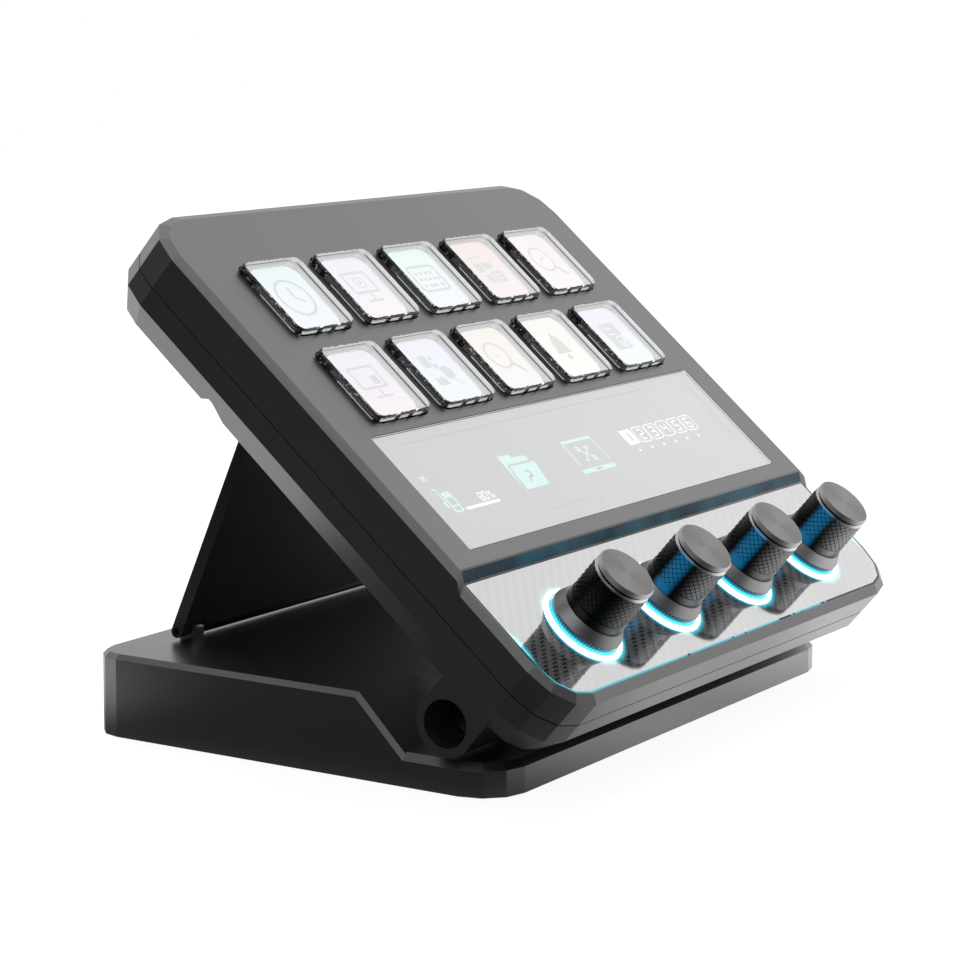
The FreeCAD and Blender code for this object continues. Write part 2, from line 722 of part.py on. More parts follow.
def usb_slot():
    """The rounded slot in the rear wall, in line with the socket on the main board."""
    slot = rounded_block("usb_slot", "usb_width + 2 * usb_slot_gap", "usb_height + 2 * usb_slot_gap",
                         "0 - over", "over", "usb_height / 2")
    slot.Placement = FreeCAD.Placement(FreeCAD.Vector(), FreeCAD.Rotation(FreeCAD.Vector(1, 0, 0), RIGHT_ANGLE))
    return place(slot, "0", "unit_length + over / 2", "%s + usb_height / 2" % BOARD_TOP)


def step_bar(name, ease):
    """The light bar let into the sloping step: a strip between two shares of the slope."""
    slope = "sqrt(step_run * step_run + step_drop * step_drop)"
    points = []
    for share, away, deep in (("bar_top_share", "-", ""), ("bar_low_share", "+", ""),
                              ("bar_low_share", "+", "d"), ("bar_top_share", "-", "d")):
        at = "(%s %s (%s) / %s)" % (share, away, ease, slope)
        y = "step_edge - step_run * %s" % at
        z = "0 - step_drop * %s" % at
        if deep:
            y += " + (bar_depth + (%s)) * step_drop / %s" % (ease, slope)
            z += " - (bar_depth + (%s)) * step_run / %s" % (ease, slope)
        points.append((y, z))
    return profile(name, points, "unit_width - 2 * bar_side_inset + 2 * (%s)" % ease)


# Bottom shell: the deep tray with its hinge lugs, the groove across it and the recess for the prop.
def bottom_shell():
    outer = [plate("skirt_wall", unit_outline(), "0 - skirt_depth", LOW_TOP),
             taper("under_bevel", unit_outline("under_inset"), "0 - unit_thick", unit_outline(), "0 - skirt_depth")]
    cavity = plate("low_hollow", unit_outline("low_wall"), FLOOR, "over")
    lip = cut("lip", plate("lip_outer", unit_outline("lip_inset"), "%s - lip_height" % LOW_TOP, "%s + lip_height" % LOW_TOP),
              [plate("lip_inner", unit_outline("low_wall"), "%s - over" % LOW_TOP, "over")])
    adds = [cut("tub", fuse("tub_outer", outer), [cavity]), lip]
    lug_width = "(lug_span / 2 - block_width / 2 - hinge_gap)"
    lug_middle = "(lug_span / 4 + block_width / 4 + hinge_gap / 2)"
    cuts = []
    for side in "-+":
        name = "left" if side == "-" else "right"
        adds.append(box("lug_web_" + name, lug_width, "2 * lug_radius", "hinge_depth + %s" % FLOOR,
                        "0 %s %s" % (side, lug_middle), "hinge_in - lug_radius", "0 - hinge_depth"))
        adds.append(along_x(rod("lug_eye_" + name, "lug_radius", lug_width),
                            "0 %s %s - %s / 2" % (side, lug_middle, lug_width), "hinge_in", "0 - hinge_depth"))
        start = "0 - lug_span / 2 - over" if side == "-" else "lug_span / 2 - lug_bore_depth"
        cuts.append(along_x(rod("lug_wide_bore_" + name, "lug_bore", "lug_bore_depth + over"), start, "hinge_in", "0 - hinge_depth"))
        start = "0 - lug_span / 2" if side == "-" else "block_width / 2"
        cuts.append(along_x(rod("lug_bore_" + name, "pin_radius + pin_gap", "lug_span / 2 - block_width / 2"),
                            start, "hinge_in", "0 - hinge_depth"))
    swing_top = "(%s + prop_reach + swing_gap)" % PIVOT_Z
    chord = "sqrt((prop_reach + swing_gap) * (prop_reach + swing_gap) - (unit_thick + %s) * (unit_thick + %s))" % (PIVOT_Z, PIVOT_Z)
    recess_start = "(%s - %s)" % (PIVOT_Y, chord)
    recess_end = "(%s + groove_rear)" % TIP_Y
    recess_width = "(prop_width + 2 * ear_gap)"
    adds.append(box("recess_housing", "%s + 2 * recess_border" % recess_width,
                    "%s - %s + 2 * recess_border" % (recess_end, recess_start),
                    "%s + recess_roof - %s" % (swing_top, FLOOR), "0", "%s - recess_border" % recess_start, FLOOR))
    for i, x in enumerate(("(0 - knob_pitch)", "0", "knob_pitch")):
        adds.append(rod("column_%d" % i, "column_radius", "%s - %s" % (KNOB_BOARD_LOW, FLOOR), x, "knob_line", FLOOR))
    for i, (x, y) in enumerate(SHELL_SCREWS):
        adds.append(rod("low_boss_%d" % i, "shell_boss", "%s - stack_gap - %s" % (LOW_TOP, FLOOR), x, y, FLOOR))
        cuts.append(rod("low_boss_hole_%d" % i, "screw_radius + boss_gap", "unit_thick + over", x, y, "0 - unit_thick - over"))
        cuts.append(rod("low_boss_sink_%d" % i, "screw_head + boss_gap", "screw_sink + screw_head_high + over", x, y,
                        "0 - unit_thick - over"))

    swing = along_x(rod("swing", "prop_reach + swing_gap", recess_width), "0 - %s / 2" % recess_width, PIVOT_Y, PIVOT_Z)
    swing_limit = box("swing_limit", recess_width, "%s - %s + over" % (recess_end, recess_start),
                      "unit_thick + over", "0", "%s - over" % recess_start, "0 - unit_thick - over")
    cuts.append(common("swing_recess", swing, swing_limit))
    stow_start = "(hinge_in + %s - prop_reach - stow_gap)" % PIVOT_RUN
    cuts.append(box("stow_recess", recess_width, "%s - %s" % (recess_end, stow_start), "stow_depth + over",
                    "0", stow_start, "0 - unit_thick - over"))
    cuts.append(profile("groove", [
        ("%s - groove_front - over * groove_slope / groove_depth" % TIP_Y, "0 - unit_thick - over"),
        ("%s + groove_rear + over" % TIP_Y, "0 - unit_thick - over"),
        ("%s - groove_front + groove_slope + groove_flat" % TIP_Y, "groove_depth - unit_thick"),
        ("%s - groove_front + groove_slope" % TIP_Y, "groove_depth - unit_thick"),
    ], "unit_width + 2 * over"))
    return cut("bottom", fuse("bottom_whole", adds), cuts)


keep(on_unit(top_shell()), "top_shell")
keep(on_unit(bottom_shell()), "bottom_shell")


# Knob panel with its light guide round the edge, and the light bar in the step.
def knob_panel():
    sheet_part = plate("panel_sheet", panel_outline("guide_width", PANEL_REAR), SHELF_TOP, PANEL_TOP)
    holes = [rod("panel_hole_%d" % (i + 1), "bush_hole", "panel_thick + 2 * over", x, "knob_line", "%s - over" % SHELF_TOP)
             for i, x in enumerate(KNOBS)]
    return cut("panel", sheet_part, holes)


def light_guide():
    rim = plate("guide_outer", panel_outline("0", PANEL_REAR), SHELF_TOP, PANEL_TOP)
    inner = plate("guide_inner", panel_outline("guide_width", "%s + over" % PANEL_REAR), "%s - over" % SHELF_TOP, "over")
    return cut("guide", rim, [inner])


keep(on_unit(knob_panel()), "knob_panel")
keep(on_unit(light_guide()), "panel_light_guide")
keep(on_unit(step_bar("bar", "0")), "step_light_bar")

# Screen: a flush cover glass bonded to the display module, which presses against the face from inside.
SCREEN_Y = "screen_start + screen_height / 2"
glass = rounded_block("glass", "screen_width", "screen_height", "0 - face_thick", "0 - screen_sink", "screen_corner")
keep(on_unit(glass, "0", SCREEN_Y), "screen_glass")
module = rounded_block("module", "screen_width + 2 * module_border", "screen_height + 2 * module_border",
                       "0 - face_thick - module_thick", "0 - face_thick", "module_corner")
keep(on_unit(module, "0", SCREEN_Y), "screen_display")

# Key display, the rubber key mat with its ten windows on top of it, and the boards.
FIELD_WIDTH = "(4 * cap_pitch_x + cap_side + 2 * flange_width)"
FIELD_DEPTH = "(cap_pitch_y + cap_side + 2 * flange_width)"
FIELD_Y = "(lower_row + cap_pitch_y / 2)"


def key_mat():
    mat = rounded_block("mat_blank", "%s + 2 * mat_border" % FIELD_WIDTH, "%s + 2 * mat_border" % FIELD_DEPTH,
                        DISPLAY_TOP, MAT_TOP, "tile_corner")
    windows = []
    for i, (x, y) in enumerate(KEYS):
        windows.append(box("mat_window_%d" % (i + 1), "mat_window", "mat_window", "mat_sheet + 2 * over",
                           x, "%s - mat_window / 2" % y, "%s - over" % DISPLAY_TOP))
    return cut("key_sheet", place(mat, "0", FIELD_Y), windows)


def main_board():
    board = rounded_block("board_blank", "board_width", "board_end - board_start", BOARD_LOW, BOARD_TOP, "board_corner")
    holes = [rod("board_hole_%d" % i, "small_screw + boss_gap", "board_thick + 2 * over", x, y, "%s - over" % BOARD_LOW)
             for i, (x, y) in enumerate(BOARD_SCREWS)]
    return cut("board", place(board, "0", "(board_start + board_end) / 2"), holes)


keep(on_unit(rounded_block("display", FIELD_WIDTH, FIELD_DEPTH, BOARD_TOP, DISPLAY_TOP, "tile_corner"),
             "0", FIELD_Y), "key_display")
keep(on_unit(key_mat()), "key_mat")
keep(on_unit(main_board()), "main_board")
knob_board = rounded_block("knob_board_blank", "knob_board_width", "knob_board_depth",
                           KNOB_BOARD_LOW, ENCODER_LOW, "board_corner")
keep(on_unit(knob_board, "0", "knob_line"), "knob_board")


def usb_socket():
    """A metal-shelled socket, made standing with its mouth up, then laid towards the rear."""
    shell = rounded_block("usb_shell", "usb_width", "usb_height", "0", "usb_length", "usb_height / 2 - stack_gap")
    mouth = rounded_block("usb_mouth", "usb_width - 2 * usb_wall", "usb_height - 2 * usb_wall",
                          "usb_length - usb_mouth_depth", "usb_length + over", "usb_height / 2 - usb_wall - stack_gap")
    tongue = box("usb_tongue_bar", "usb_tongue_width", "usb_tongue", "usb_mouth_depth", "0", "0 - usb_tongue / 2",
                 "usb_length - usb_mouth_depth - usb_wall")
    return fuse("usb", [cut("usb_open", shell, [mouth]), tongue])


socket = usb_socket()
socket.Placement = FreeCAD.Placement(FreeCAD.Vector(), FreeCAD.Rotation(FreeCAD.Vector(1, 0, 0), -90))
socket_lying = doc.addObject("Part::Compound", "usb_lying")
socket_lying.Links = [place(socket, "0", "unit_length - usb_sink - usb_length", "%s + usb_height / 2" % BOARD_TOP)]
keep(on_unit(socket_lying), "usb_socket")


def screw_set(name, spots, radius, head, head_high, length, low):
    """Round-headed screws standing head down at low, as one group of separate solids."""
    screws = []
    for i, (x, y) in enumerate(spots):
        top = rod("%s_head_%d" % (name, i), head, head_high, x, y, low)
        shank = rod("%s_shank_%d" % (name, i), radius, length, x, y, "%s + (%s)" % (low, head_high))
        screws.append(fuse("%s_%d" % (name, i), [top, shank]))
    group = doc.addObject("Part::Compound", name + "_set")
    group.Links = screws
    return group


keep(on_unit(screw_set("shell_screw", SHELL_SCREWS, "screw_radius", "screw_head", "screw_head_high",
                       "unit_thick + %s + screw_bite - screw_sink - screw_head_high - stack_gap" % LOW_TOP,
                       "(screw_sink - unit_thick)")), "shell_screws")
keep(on_unit(screw_set("board_screw", BOARD_SCREWS, "small_screw", "small_head", "small_head_high",
                       "small_bite", "(%s - small_head_high)" % BOARD_LOW)), "board_screws")


# Key caps: clear moulded blocks with a flange that keeps each one under the face.
def key_cap(number):
    name = "cap_%d" % number
    body = doc.addObject("PartDesign::Body", name)
    flange = polygon(sketch_on(body, "XY_Plane", name + "_flange", z="0 - cap_depth"),
                     rectangle("cap_side + 2 * flange_width", "cap_side + 2 * flange_width"))
    base = feature(body, "Pad", name + "_flange_pad", Length="cap_depth - face_thick - flange_gap")
    base.Profile = flange
    block = polygon(sketch_on(body, "XY_Plane", name + "_block", z="0 - cap_depth"), rectangle("cap_side", "cap_side"))
    rise = feature(body, "Pad", name + "_block_pad", Length="cap_depth + cap_rise")
    rise.Profile = block
    doc.recompute()
    rounding = feature(body, "Fillet", name + "_corners", Radius="cap_corner")
    top = size("cap_rise")
    tall = []
    for i, edge in enumerate(rise.Shape.Edges):
        levels = sorted(vertex.Point.z for vertex in edge.Vertexes)
        if len(levels) == 2 and abs(levels[1] - top) < 1e-6 and levels[0] < -size("face_thick"):
            tall.append("Edge%d" % (i + 1))
    rounding.Base = (rise, tall)
    doc.recompute()
    edge_round = feature(body, "Fillet", name + "_rim", Radius="cap_edge")
    edge_round.Base = (rounding, edges_at(rounding.Shape, top))
    body.Tip = edge_round
    doc.recompute()
    return body


for i, (x, y) in enumerate(KEYS):
    keep(on_unit(key_cap(i + 1), x, y), "key_cap_%d" % (i + 1))


# Knobs: a light ring on the panel, an encoder below it, and a turned knob of skirt, sleeve and cap.
def light_ring(name):
    return ring_body(name, [
        ("ring_inner", "0"), ("ring_outer", "0"), ("ring_outer", "ring_wall"),
        ("ring_outer - ring_edge", "ring_shoulder"), ("ring_outer - ring_crown", "ring_height"),
        ("ring_inner + ring_crown", "ring_height"), ("ring_inner + ring_edge", "ring_shoulder"),
        ("ring_inner", "ring_wall")])


def skirt(name):
    return ring_body(name, [
        ("hub_radius", "skirt_lift"), ("skirt_radius", "skirt_lift"), ("skirt_radius", "skirt_band"),
        ("skirt_top", "skirt_height"), ("shaft_radius + fit_gap", "skirt_height"),
        ("shaft_radius + fit_gap", "hub_height"), ("hub_radius", "hub_height")])


def cap(name):
    return ring_body(name, [
        ("0", "sleeve_end"), ("neck_radius", "sleeve_end"), ("neck_radius", "neck_height"),
        ("cap_radius", "neck_height"), ("cap_radius", "knob_height - cap_chamfer"),
        ("cap_radius - cap_chamfer", "knob_height"), ("0", "knob_height")])


def knurl_solid():
    """A band of raised four-sided diamonds, set in rows that step half a diamond sideways."""
    low, high = size("knurl_start"), size("knurl_end")
    outer = size("sleeve_radius")
    root = outer - size("knurl_deep")
    step = 2 * math.pi / KNURL_COLUMNS
    rise = (high - low) / KNURL_ROWS

    def spot(half_column, row, radius):
        angle = half_column * step / 2
        return FreeCAD.Vector(radius * math.cos(angle), radius * math.sin(angle), low + row * rise)

    def tile(corners):
        return Part.Face(Part.makePolygon(corners + [corners[0]]))

    faces = []
    for row in range(KNURL_ROWS + 1):
        for half in range(row % 2, 2 * KNURL_COLUMNS, 2):
            peak = spot(half + 1, row, outer)
            left, right = spot(half, row, root), spot(half + 2, row, root)
            if row < KNURL_ROWS:
                up = spot(half + 1, row + 1, root)
                if row == 0:
                    faces.append(tile([left, right, up]))
                else:
                    faces += [tile([left, peak, up]), tile([peak, right, up])]
            if row > 0:
                down = spot(half + 1, row - 1, root)
                if row == KNURL_ROWS:
                    faces.append(tile([left, down, right]))
                else:
                    faces += [tile([left, down, peak]), tile([down, right, peak])]
    for row in (0, KNURL_ROWS):
        rim = [spot(half, row, root) for half in range(row % 2, 2 * KNURL_COLUMNS, 2)]
        faces.append(tile(rim))
    shell = Part.Shell(faces)
    solid = Part.Solid(shell)
    if solid.Volume < 0:
        solid.reverse()
    return solid


KNURL = knurl_solid()


def sleeve(number):
    name = "sleeve_%d" % number
    root = "(sleeve_radius - sleeve_groove - knurl_deep)"
    band_top = "(knurl_start - groove_high)"
    core = ring_body(name + "_core", [
        ("0", "skirt_height"), ("sleeve_radius", "skirt_height"), ("sleeve_radius", band_top),
        (root, band_top), (root, "knurl_end"),
        ("sleeve_radius - sleeve_groove", "knurl_end"),
        ("neck_radius", "sleeve_end"), ("0", "sleeve_end")])
    knurl = doc.addObject("Part::Feature", name + "_knurl")
    knurl.Shape = KNURL
    bore = rod(name + "_bore", "shaft_radius + fit_gap", "shaft_top + stack_gap")
    return cut(name, fuse(name + "_whole", [core, knurl]), [bore])


def encoder(name):
    block = rounded_block(name + "_case", "encoder_side", "encoder_side", ENCODER_LOW, ENCODER_TOP, "encoder_corner")
    bush = rod(name + "_bush", "bush_radius", "%s + bush_rise - %s" % (PANEL_TOP, ENCODER_TOP), z=ENCODER_TOP)
    chamber = rod(name + "_chamber", "chamber_radius", "encoder_high - chamber_floor - chamber_roof",
                  z="%s + chamber_floor" % ENCODER_LOW)
    bore = rod(name + "_bore", "shaft_radius + shaft_gap", "encoder_high + over",
               z="%s - chamber_roof - shaft_gap" % ENCODER_TOP)
    return cut(name, fuse(name + "_whole", [block, bush]), [chamber, bore])


PLUNGER_LOW = "(%s + chamber_floor + knob_push + stack_gap)" % ENCODER_LOW
SHAFT_LOW = "(%s + plunger_high + stack_gap)" % PLUNGER_LOW
FLANGE_TOP = "(%s - chamber_roof - ear_gap)" % ENCODER_TOP


def shaft(name):
    stem = rod(name + "_stem", "shaft_radius", "%s + shaft_top - %s" % (PANEL_TOP, SHAFT_LOW), z=SHAFT_LOW)
    flange = rod(name + "_flange", "flange_radius", "flange_high", z="%s - flange_high" % FLANGE_TOP)
    return fuse(name, [stem, flange])


for i, x in enumerate(KNOBS):
    number = i + 1
    keep(on_unit(light_ring("ring_%d" % number), x, "knob_line", PANEL_TOP), "light_ring_%d" % number)
    keep(on_unit(encoder("encoder_body_%d" % number), x, "knob_line"), "encoder_%d" % number)
    plunger = rod("plunger_%d" % number, "plunger_radius", "plunger_high")
    keep(on_unit(plunger, x, "knob_line", PLUNGER_LOW), "encoder_plunger_%d" % number)
    keep(on_unit(shaft("shaft_%d" % number), x, "knob_line"), "encoder_shaft_%d" % number)
    keep(on_unit(skirt("skirt_%d" % number), x, "knob_line", PANEL_TOP), "knob_skirt_%d" % number)
    keep(on_unit(sleeve(number), x, "knob_line", PANEL_TOP), "knob_sleeve_%d" % number)
    keep(on_unit(cap("top_%d" % number), x, "knob_line", PANEL_TOP), "knob_cap_%d" % number)

doc.recompute()

faults = []
for thing in doc.Objects:
    if "Invalid" in thing.State or "Error" in thing.State:
        faults.append("%s: %s" % (thing.Name, thing.State))
for thing in ORDER:
    if thing.Shape.isNull() or not thing.Shape.isValid():
        faults.append("%s: its shape is null or not valid" % thing.Label)
if faults:
    raise RuntimeError("; ".join(faults))
for thing in ORDER:
    thing.Shape.exportStep("parts/%s.step" % thing.Label)
print("%d pieces written" % len(ORDER))
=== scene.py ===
import json
import math

import bpy
from mathutils import Matrix, Vector


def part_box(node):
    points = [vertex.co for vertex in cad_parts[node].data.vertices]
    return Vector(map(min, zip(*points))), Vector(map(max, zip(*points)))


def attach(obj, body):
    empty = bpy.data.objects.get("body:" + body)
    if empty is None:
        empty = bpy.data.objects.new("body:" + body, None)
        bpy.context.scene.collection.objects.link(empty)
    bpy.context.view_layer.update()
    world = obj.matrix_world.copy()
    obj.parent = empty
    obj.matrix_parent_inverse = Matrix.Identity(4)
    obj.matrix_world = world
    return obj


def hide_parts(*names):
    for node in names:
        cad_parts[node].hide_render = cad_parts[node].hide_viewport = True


# A desk keypad on its folding stand: ten clear display keys, a strip screen and four lit knobs.
# The pieces come in the order in which the keypad is put together, from the desk up.
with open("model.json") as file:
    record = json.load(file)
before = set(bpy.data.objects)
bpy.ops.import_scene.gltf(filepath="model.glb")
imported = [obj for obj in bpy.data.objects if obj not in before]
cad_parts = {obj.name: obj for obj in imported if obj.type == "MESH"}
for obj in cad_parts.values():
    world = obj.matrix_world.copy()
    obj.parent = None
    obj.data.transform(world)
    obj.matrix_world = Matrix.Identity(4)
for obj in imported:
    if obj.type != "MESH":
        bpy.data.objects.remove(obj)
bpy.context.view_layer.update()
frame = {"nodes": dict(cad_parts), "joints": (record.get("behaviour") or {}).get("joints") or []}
nodes = frame["nodes"]
MM = 0.001
bpy.context.scene.view_settings.view_transform = "Standard"

# The desk: a white sweep under and behind the keypad, so that it stands on nothing but its own
# soft shadow. The paper shines white towards the camera, and darkens to the left, where the
# keypad's side walls mirror it.
FLOOR_REACH = 1.6
FLOOR_DROP = 0.02 * MM
FLOOR_WHITE = 0.92
PAPER_GREY = (0.30, 0.30, 0.30)
PAPER_DARK = (0.02, 0.02, 0.02)


def put(tree, given, socket):
    """Links a socket, or sets a plain number, colour or direction."""
    if isinstance(given, bpy.types.NodeSocket):
        tree.links.new(given, socket)
    elif isinstance(given, tuple) and socket.type == "RGBA":
        socket.default_value = (*given, 1)
    else:
        socket.default_value = given


def value(tree, operation, first, second=0.0):
    """One Math node: first and second are numbers or sockets."""
    node = tree.nodes.new("ShaderNodeMath")
    node.operation = operation
    for socket, given in zip(node.inputs, (first, second)):
        put(tree, given, socket)
    return node.outputs[0]


def remap(tree, source, low, high, to_low=0.0, to_high=1.0, smooth=False):
    node = tree.nodes.new("ShaderNodeMapRange")
    node.interpolation_type = "SMOOTHSTEP" if smooth else "LINEAR"
    tree.links.new(source, node.inputs["Value"])
    for label, given in (("From Min", low), ("From Max", high), ("To Min", to_low), ("To Max", to_high)):
        node.inputs[label].default_value = given
    return node.outputs[0]


def blend_color(tree, mask, first, second):
    node = tree.nodes.new("ShaderNodeMix")
    node.data_type = "RGBA"
    for socket, given in ((node.inputs[0], mask), (node.inputs[6], first), (node.inputs[7], second)):
        put(tree, given, socket)
    return node.outputs[2]


def own_place(tree):
    """Where a point lies in its piece's own space, which moves with the piece."""
    return tree.nodes.new("ShaderNodeTexCoord").outputs["Object"]


def lay_floor():
    mesh = bpy.data.meshes.new("desk")
    corners = [(x * FLOOR_REACH, y * FLOOR_REACH, -FLOOR_DROP) for x, y in ((-1, -1), (1, -1), (1, 1), (-1, 1))]
    mesh.from_pydata(corners, [], [(0, 1, 2, 3)])
    desk = bpy.data.objects.new("desk", mesh)
    bpy.context.scene.collection.objects.link(desk)
    paper = bpy.data.materials.new("desk_paper")
    paper.use_nodes = True
    tree = paper.node_tree
    shader = tree.nodes["Principled BSDF"]
    shader.inputs["Roughness"].default_value = 0.9
    shader.inputs["Specular IOR Level"].default_value = 0.1
    shader.inputs["Emission Color"].default_value = (1, 1, 1, 1)
    spot = tree.nodes.new("ShaderNodeSeparateXYZ")
    tree.links.new(own_place(tree), spot.inputs[0])
    x, y = spot.outputs["X"], spot.outputs["Y"]
    # How white the paper is in a mirror, by metres across the desk and towards its rear.
    right = value(tree, "ADD", remap(tree, x, -0.085, 0.005, 0.04, 0.95, True),
                  remap(tree, x, 0.02, 0.08, 0.0, 0.55, True))
    behind = value(tree, "MULTIPLY", remap(tree, y, 0.04, 0.10, 0.0, 1.0, True),
                   remap(tree, x, -0.14, -0.09, 0.0, 1.0, True))
    mirrored = value(tree, "MAXIMUM", right, behind)
    path = tree.nodes.new("ShaderNodeLightPath")
    glossy = value(tree, "MULTIPLY", mirrored, path.outputs["Is Glossy Ray"])
    straight = value(tree, "MAXIMUM", path.outputs["Is Camera Ray"], path.outputs["Is Transmission Ray"])
    level = value(tree, "MULTIPLY", value(tree, "MAXIMUM", straight, glossy), FLOOR_WHITE)
    tree.links.new(level, shader.inputs["Emission Strength"])
    unlit = value(tree, "MULTIPLY", value(tree, "SUBTRACT", 1.0, mirrored), path.outputs["Is Glossy Ray"])
    tree.links.new(blend_color(tree, unlit, PAPER_GREY, PAPER_DARK), shader.inputs["Base Color"])
    mesh.materials.append(paper)


lay_floor()

# The studio: a white cove on the right and behind, and a black flag on the left, which keeps the
# keypad's left walls dark, with a grey card over it that lights the turned edges of the knobs.
# The camera itself sees plain white all round.
COVE_WHITE = 1.0
FLAG_BLACK = 0.02
CARD_GREY = 1.0
FILL_LEVEL = 0.55


def hang_cove():
    world = bpy.data.worlds.new("studio")
    bpy.context.scene.world = world
    world.use_nodes = True
    tree = world.node_tree
    sky = tree.nodes["Background"]
    sky.inputs["Color"].default_value = (1, 1, 1, 1)
    split = tree.nodes.new("ShaderNodeSeparateXYZ")
    tree.links.new(tree.nodes.new("ShaderNodeTexCoord").outputs["Generated"], split.inputs[0])
    x, y, z = split.outputs
    # The directions run from -1 to 1: left to right, front to rear, down to up.
    sweep = remap(tree, x, -0.50, 0.08, FLAG_BLACK, COVE_WHITE, True)
    near = remap(tree, y, -1.0, -0.20, 0.15, 1.0, True)
    gain = remap(tree, x, 0.74, 0.88, 0.85, 1.15)
    card = value(tree, "MULTIPLY", remap(tree, x, -0.72, -0.42, CARD_GREY, 0.0, True),
                 remap(tree, z, 0.22, 0.36, 0.0, 1.0, True))
    path = tree.nodes.new("ShaderNodeLightPath")
    dim = remap(tree, path.outputs["Is Diffuse Ray"], 0.0, 1.0, 1.0, FILL_LEVEL)
    cove = value(tree, "MULTIPLY", value(tree, "MULTIPLY", sweep, near), value(tree, "MULTIPLY", gain, dim))
    level = value(tree, "ADD", cove, value(tree, "MULTIPLY", card, dim))
    tree.links.new(value(tree, "MAXIMUM", level, path.outputs["Is Camera Ray"]), sky.inputs["Strength"])


def hang_lamp(name, place, aim, width, height, power):
    light = bpy.data.lights.new(name, "AREA")
    light.shape = "RECTANGLE"
    light.size = width
    light.size_y = height
    light.energy = power
    lamp = bpy.data.objects.new(name, light)
    bpy.context.scene.collection.objects.link(lamp)
    lamp.location = place
    lamp.rotation_euler = (Vector(aim) - Vector(place)).to_track_quat("-Z", "Y").to_euler()
    lamp.visible_glossy = False


hang_cove()
hang_lamp("overhead_softbox", (0.25, 0.15, 0.9), (0, 0, 0.04), 0.7, 0.5, 4.0)

# The camera stands at the left front corner, a little above the keypad, with a long lens.
CAMERA_PLACE = (-0.51207, -0.32124, 0.14561)
CAMERA_YAW = -57.821
CAMERA_PITCH = 9.322
CAMERA_ROLL = 0.335
CAMERA_LENS = 110.773
CAMERA_NEAREST = 0.01


def stand_camera():
    camera = bpy.data.objects.new("camera", bpy.data.cameras.new("camera"))
    bpy.context.scene.collection.objects.link(camera)
    camera.data.lens = CAMERA_LENS
    camera.data.clip_start = CAMERA_NEAREST
    upright = Matrix.Rotation(math.radians(CAMERA_YAW), 4, "Z") @ Matrix.Rotation(
        math.radians(90 - CAMERA_PITCH), 4, "X")
    camera.matrix_world = (Matrix.Translation(CAMERA_PLACE) @ upright
                           @ Matrix.Rotation(math.radians(CAMERA_ROLL), 4, "Z"))
    bpy.context.scene.camera = camera


stand_camera()

# Base: a low moulded box of satin black plastic with a raised deck, closed from below by a cover
# sheet, and standing on a rubber mat. The moulding has a fine spark texture and soft edges.
BLACK_PLASTIC = (0.009, 0.009, 0.0093)
WELD_REACH = 0.002 * MM
SHARP_EDGE = math.radians(20)


def open_group(name, inputs, outputs, kind="NodeSocketFloat"):
    """A new shader node group with named number inputs and outputs; its tree, way in and way out."""
    group = bpy.data.node_groups.new(name, "ShaderNodeTree")
    for label, start in inputs:
        socket = group.interface.new_socket(name=label, in_out="INPUT", socket_type="NodeSocketFloat")
        socket.default_value = start
    for label in outputs:
        group.interface.new_socket(name=label, in_out="OUTPUT", socket_type=kind)
    return group, group.nodes.new("NodeGroupInput"), group.nodes.new("NodeGroupOutput")


def noise(tree, scale, detail=2.0):
    """Smooth noise in a piece's own space."""
    node = tree.nodes.new("ShaderNodeTexNoise")
    tree.links.new(own_place(tree), node.inputs["Vector"])
    put(tree, scale, node.inputs["Scale"])
    node.inputs["Detail"].default_value = detail
    return node.outputs[0]


def make_spark_texture():
    """Fine moulded grain: a height for a bump, a roughness that wanders, and a faint dust mask."""
    tree, way_in, way_out = open_group(
        "spark_texture", [("Grain Size", 0.12 * MM), ("Roughness", 0.4), ("Wander", 0.05)],
        ["Height", "Roughness", "Dust"])
    grain = noise(tree, value(tree, "DIVIDE", 1.0, way_in.outputs["Grain Size"]))
    tree.links.new(grain, way_out.inputs["Height"])
    cloud = noise(tree, 45.0, 3.0)
    wander = value(tree, "MULTIPLY", value(tree, "SUBTRACT", cloud, 0.5), way_in.outputs["Wander"])
    tree.links.new(value(tree, "ADD", way_in.outputs["Roughness"], wander), way_out.inputs["Roughness"])
    tree.links.new(remap(tree, cloud, 0.45, 0.8, 0.0, 1.0, True), way_out.inputs["Dust"])
    return tree


SPARK_TEXTURE = make_spark_texture()


def new_finish(name, **sockets):
    """A material whose plain sockets are set; returns it with its tree and its shader."""
    finish = bpy.data.materials.new(name)
    finish.use_nodes = True
    shader = finish.node_tree.nodes["Principled BSDF"]
    for label, given in sockets.items():
        put(finish.node_tree, given, shader.inputs[label.replace("_", " ")])
    return finish, finish.node_tree, shader


def put_group(tree, group, **inputs):
    node = tree.nodes.new("ShaderNodeGroup")
    node.node_tree = group
    for label, given in inputs.items():
        put(tree, given, node.inputs[label.replace("_", " ")])
    return node


def add_bump(tree, shader, height, strength, distance):
    bump = tree.nodes.new("ShaderNodeBump")
    bump.inputs["Strength"].default_value = strength
    bump.inputs["Distance"].default_value = distance
    tree.links.new(height, bump.inputs["Height"])
    tree.links.new(bump.outputs[0], shader.inputs["Normal"])
    return bump


def moulded_plastic(name, color, roughness, grain=0.12, strength=0.15, dust=(0.05, 0.05, 0.05), ior=1.5):
    finish, tree, shader = new_finish(name, IOR=ior)
    texture = put_group(tree, SPARK_TEXTURE, Grain_Size=grain * MM, Roughness=roughness, Wander=0.06)
    tree.links.new(texture.outputs["Roughness"], shader.inputs["Roughness"])
    dusty = value(tree, "MULTIPLY", texture.outputs["Dust"], 0.25)
    tree.links.new(blend_color(tree, dusty, color, dust), shader.inputs["Base Color"])
    add_bump(tree, shader, texture.outputs["Height"], strength, 0.02 * MM)
    return finish


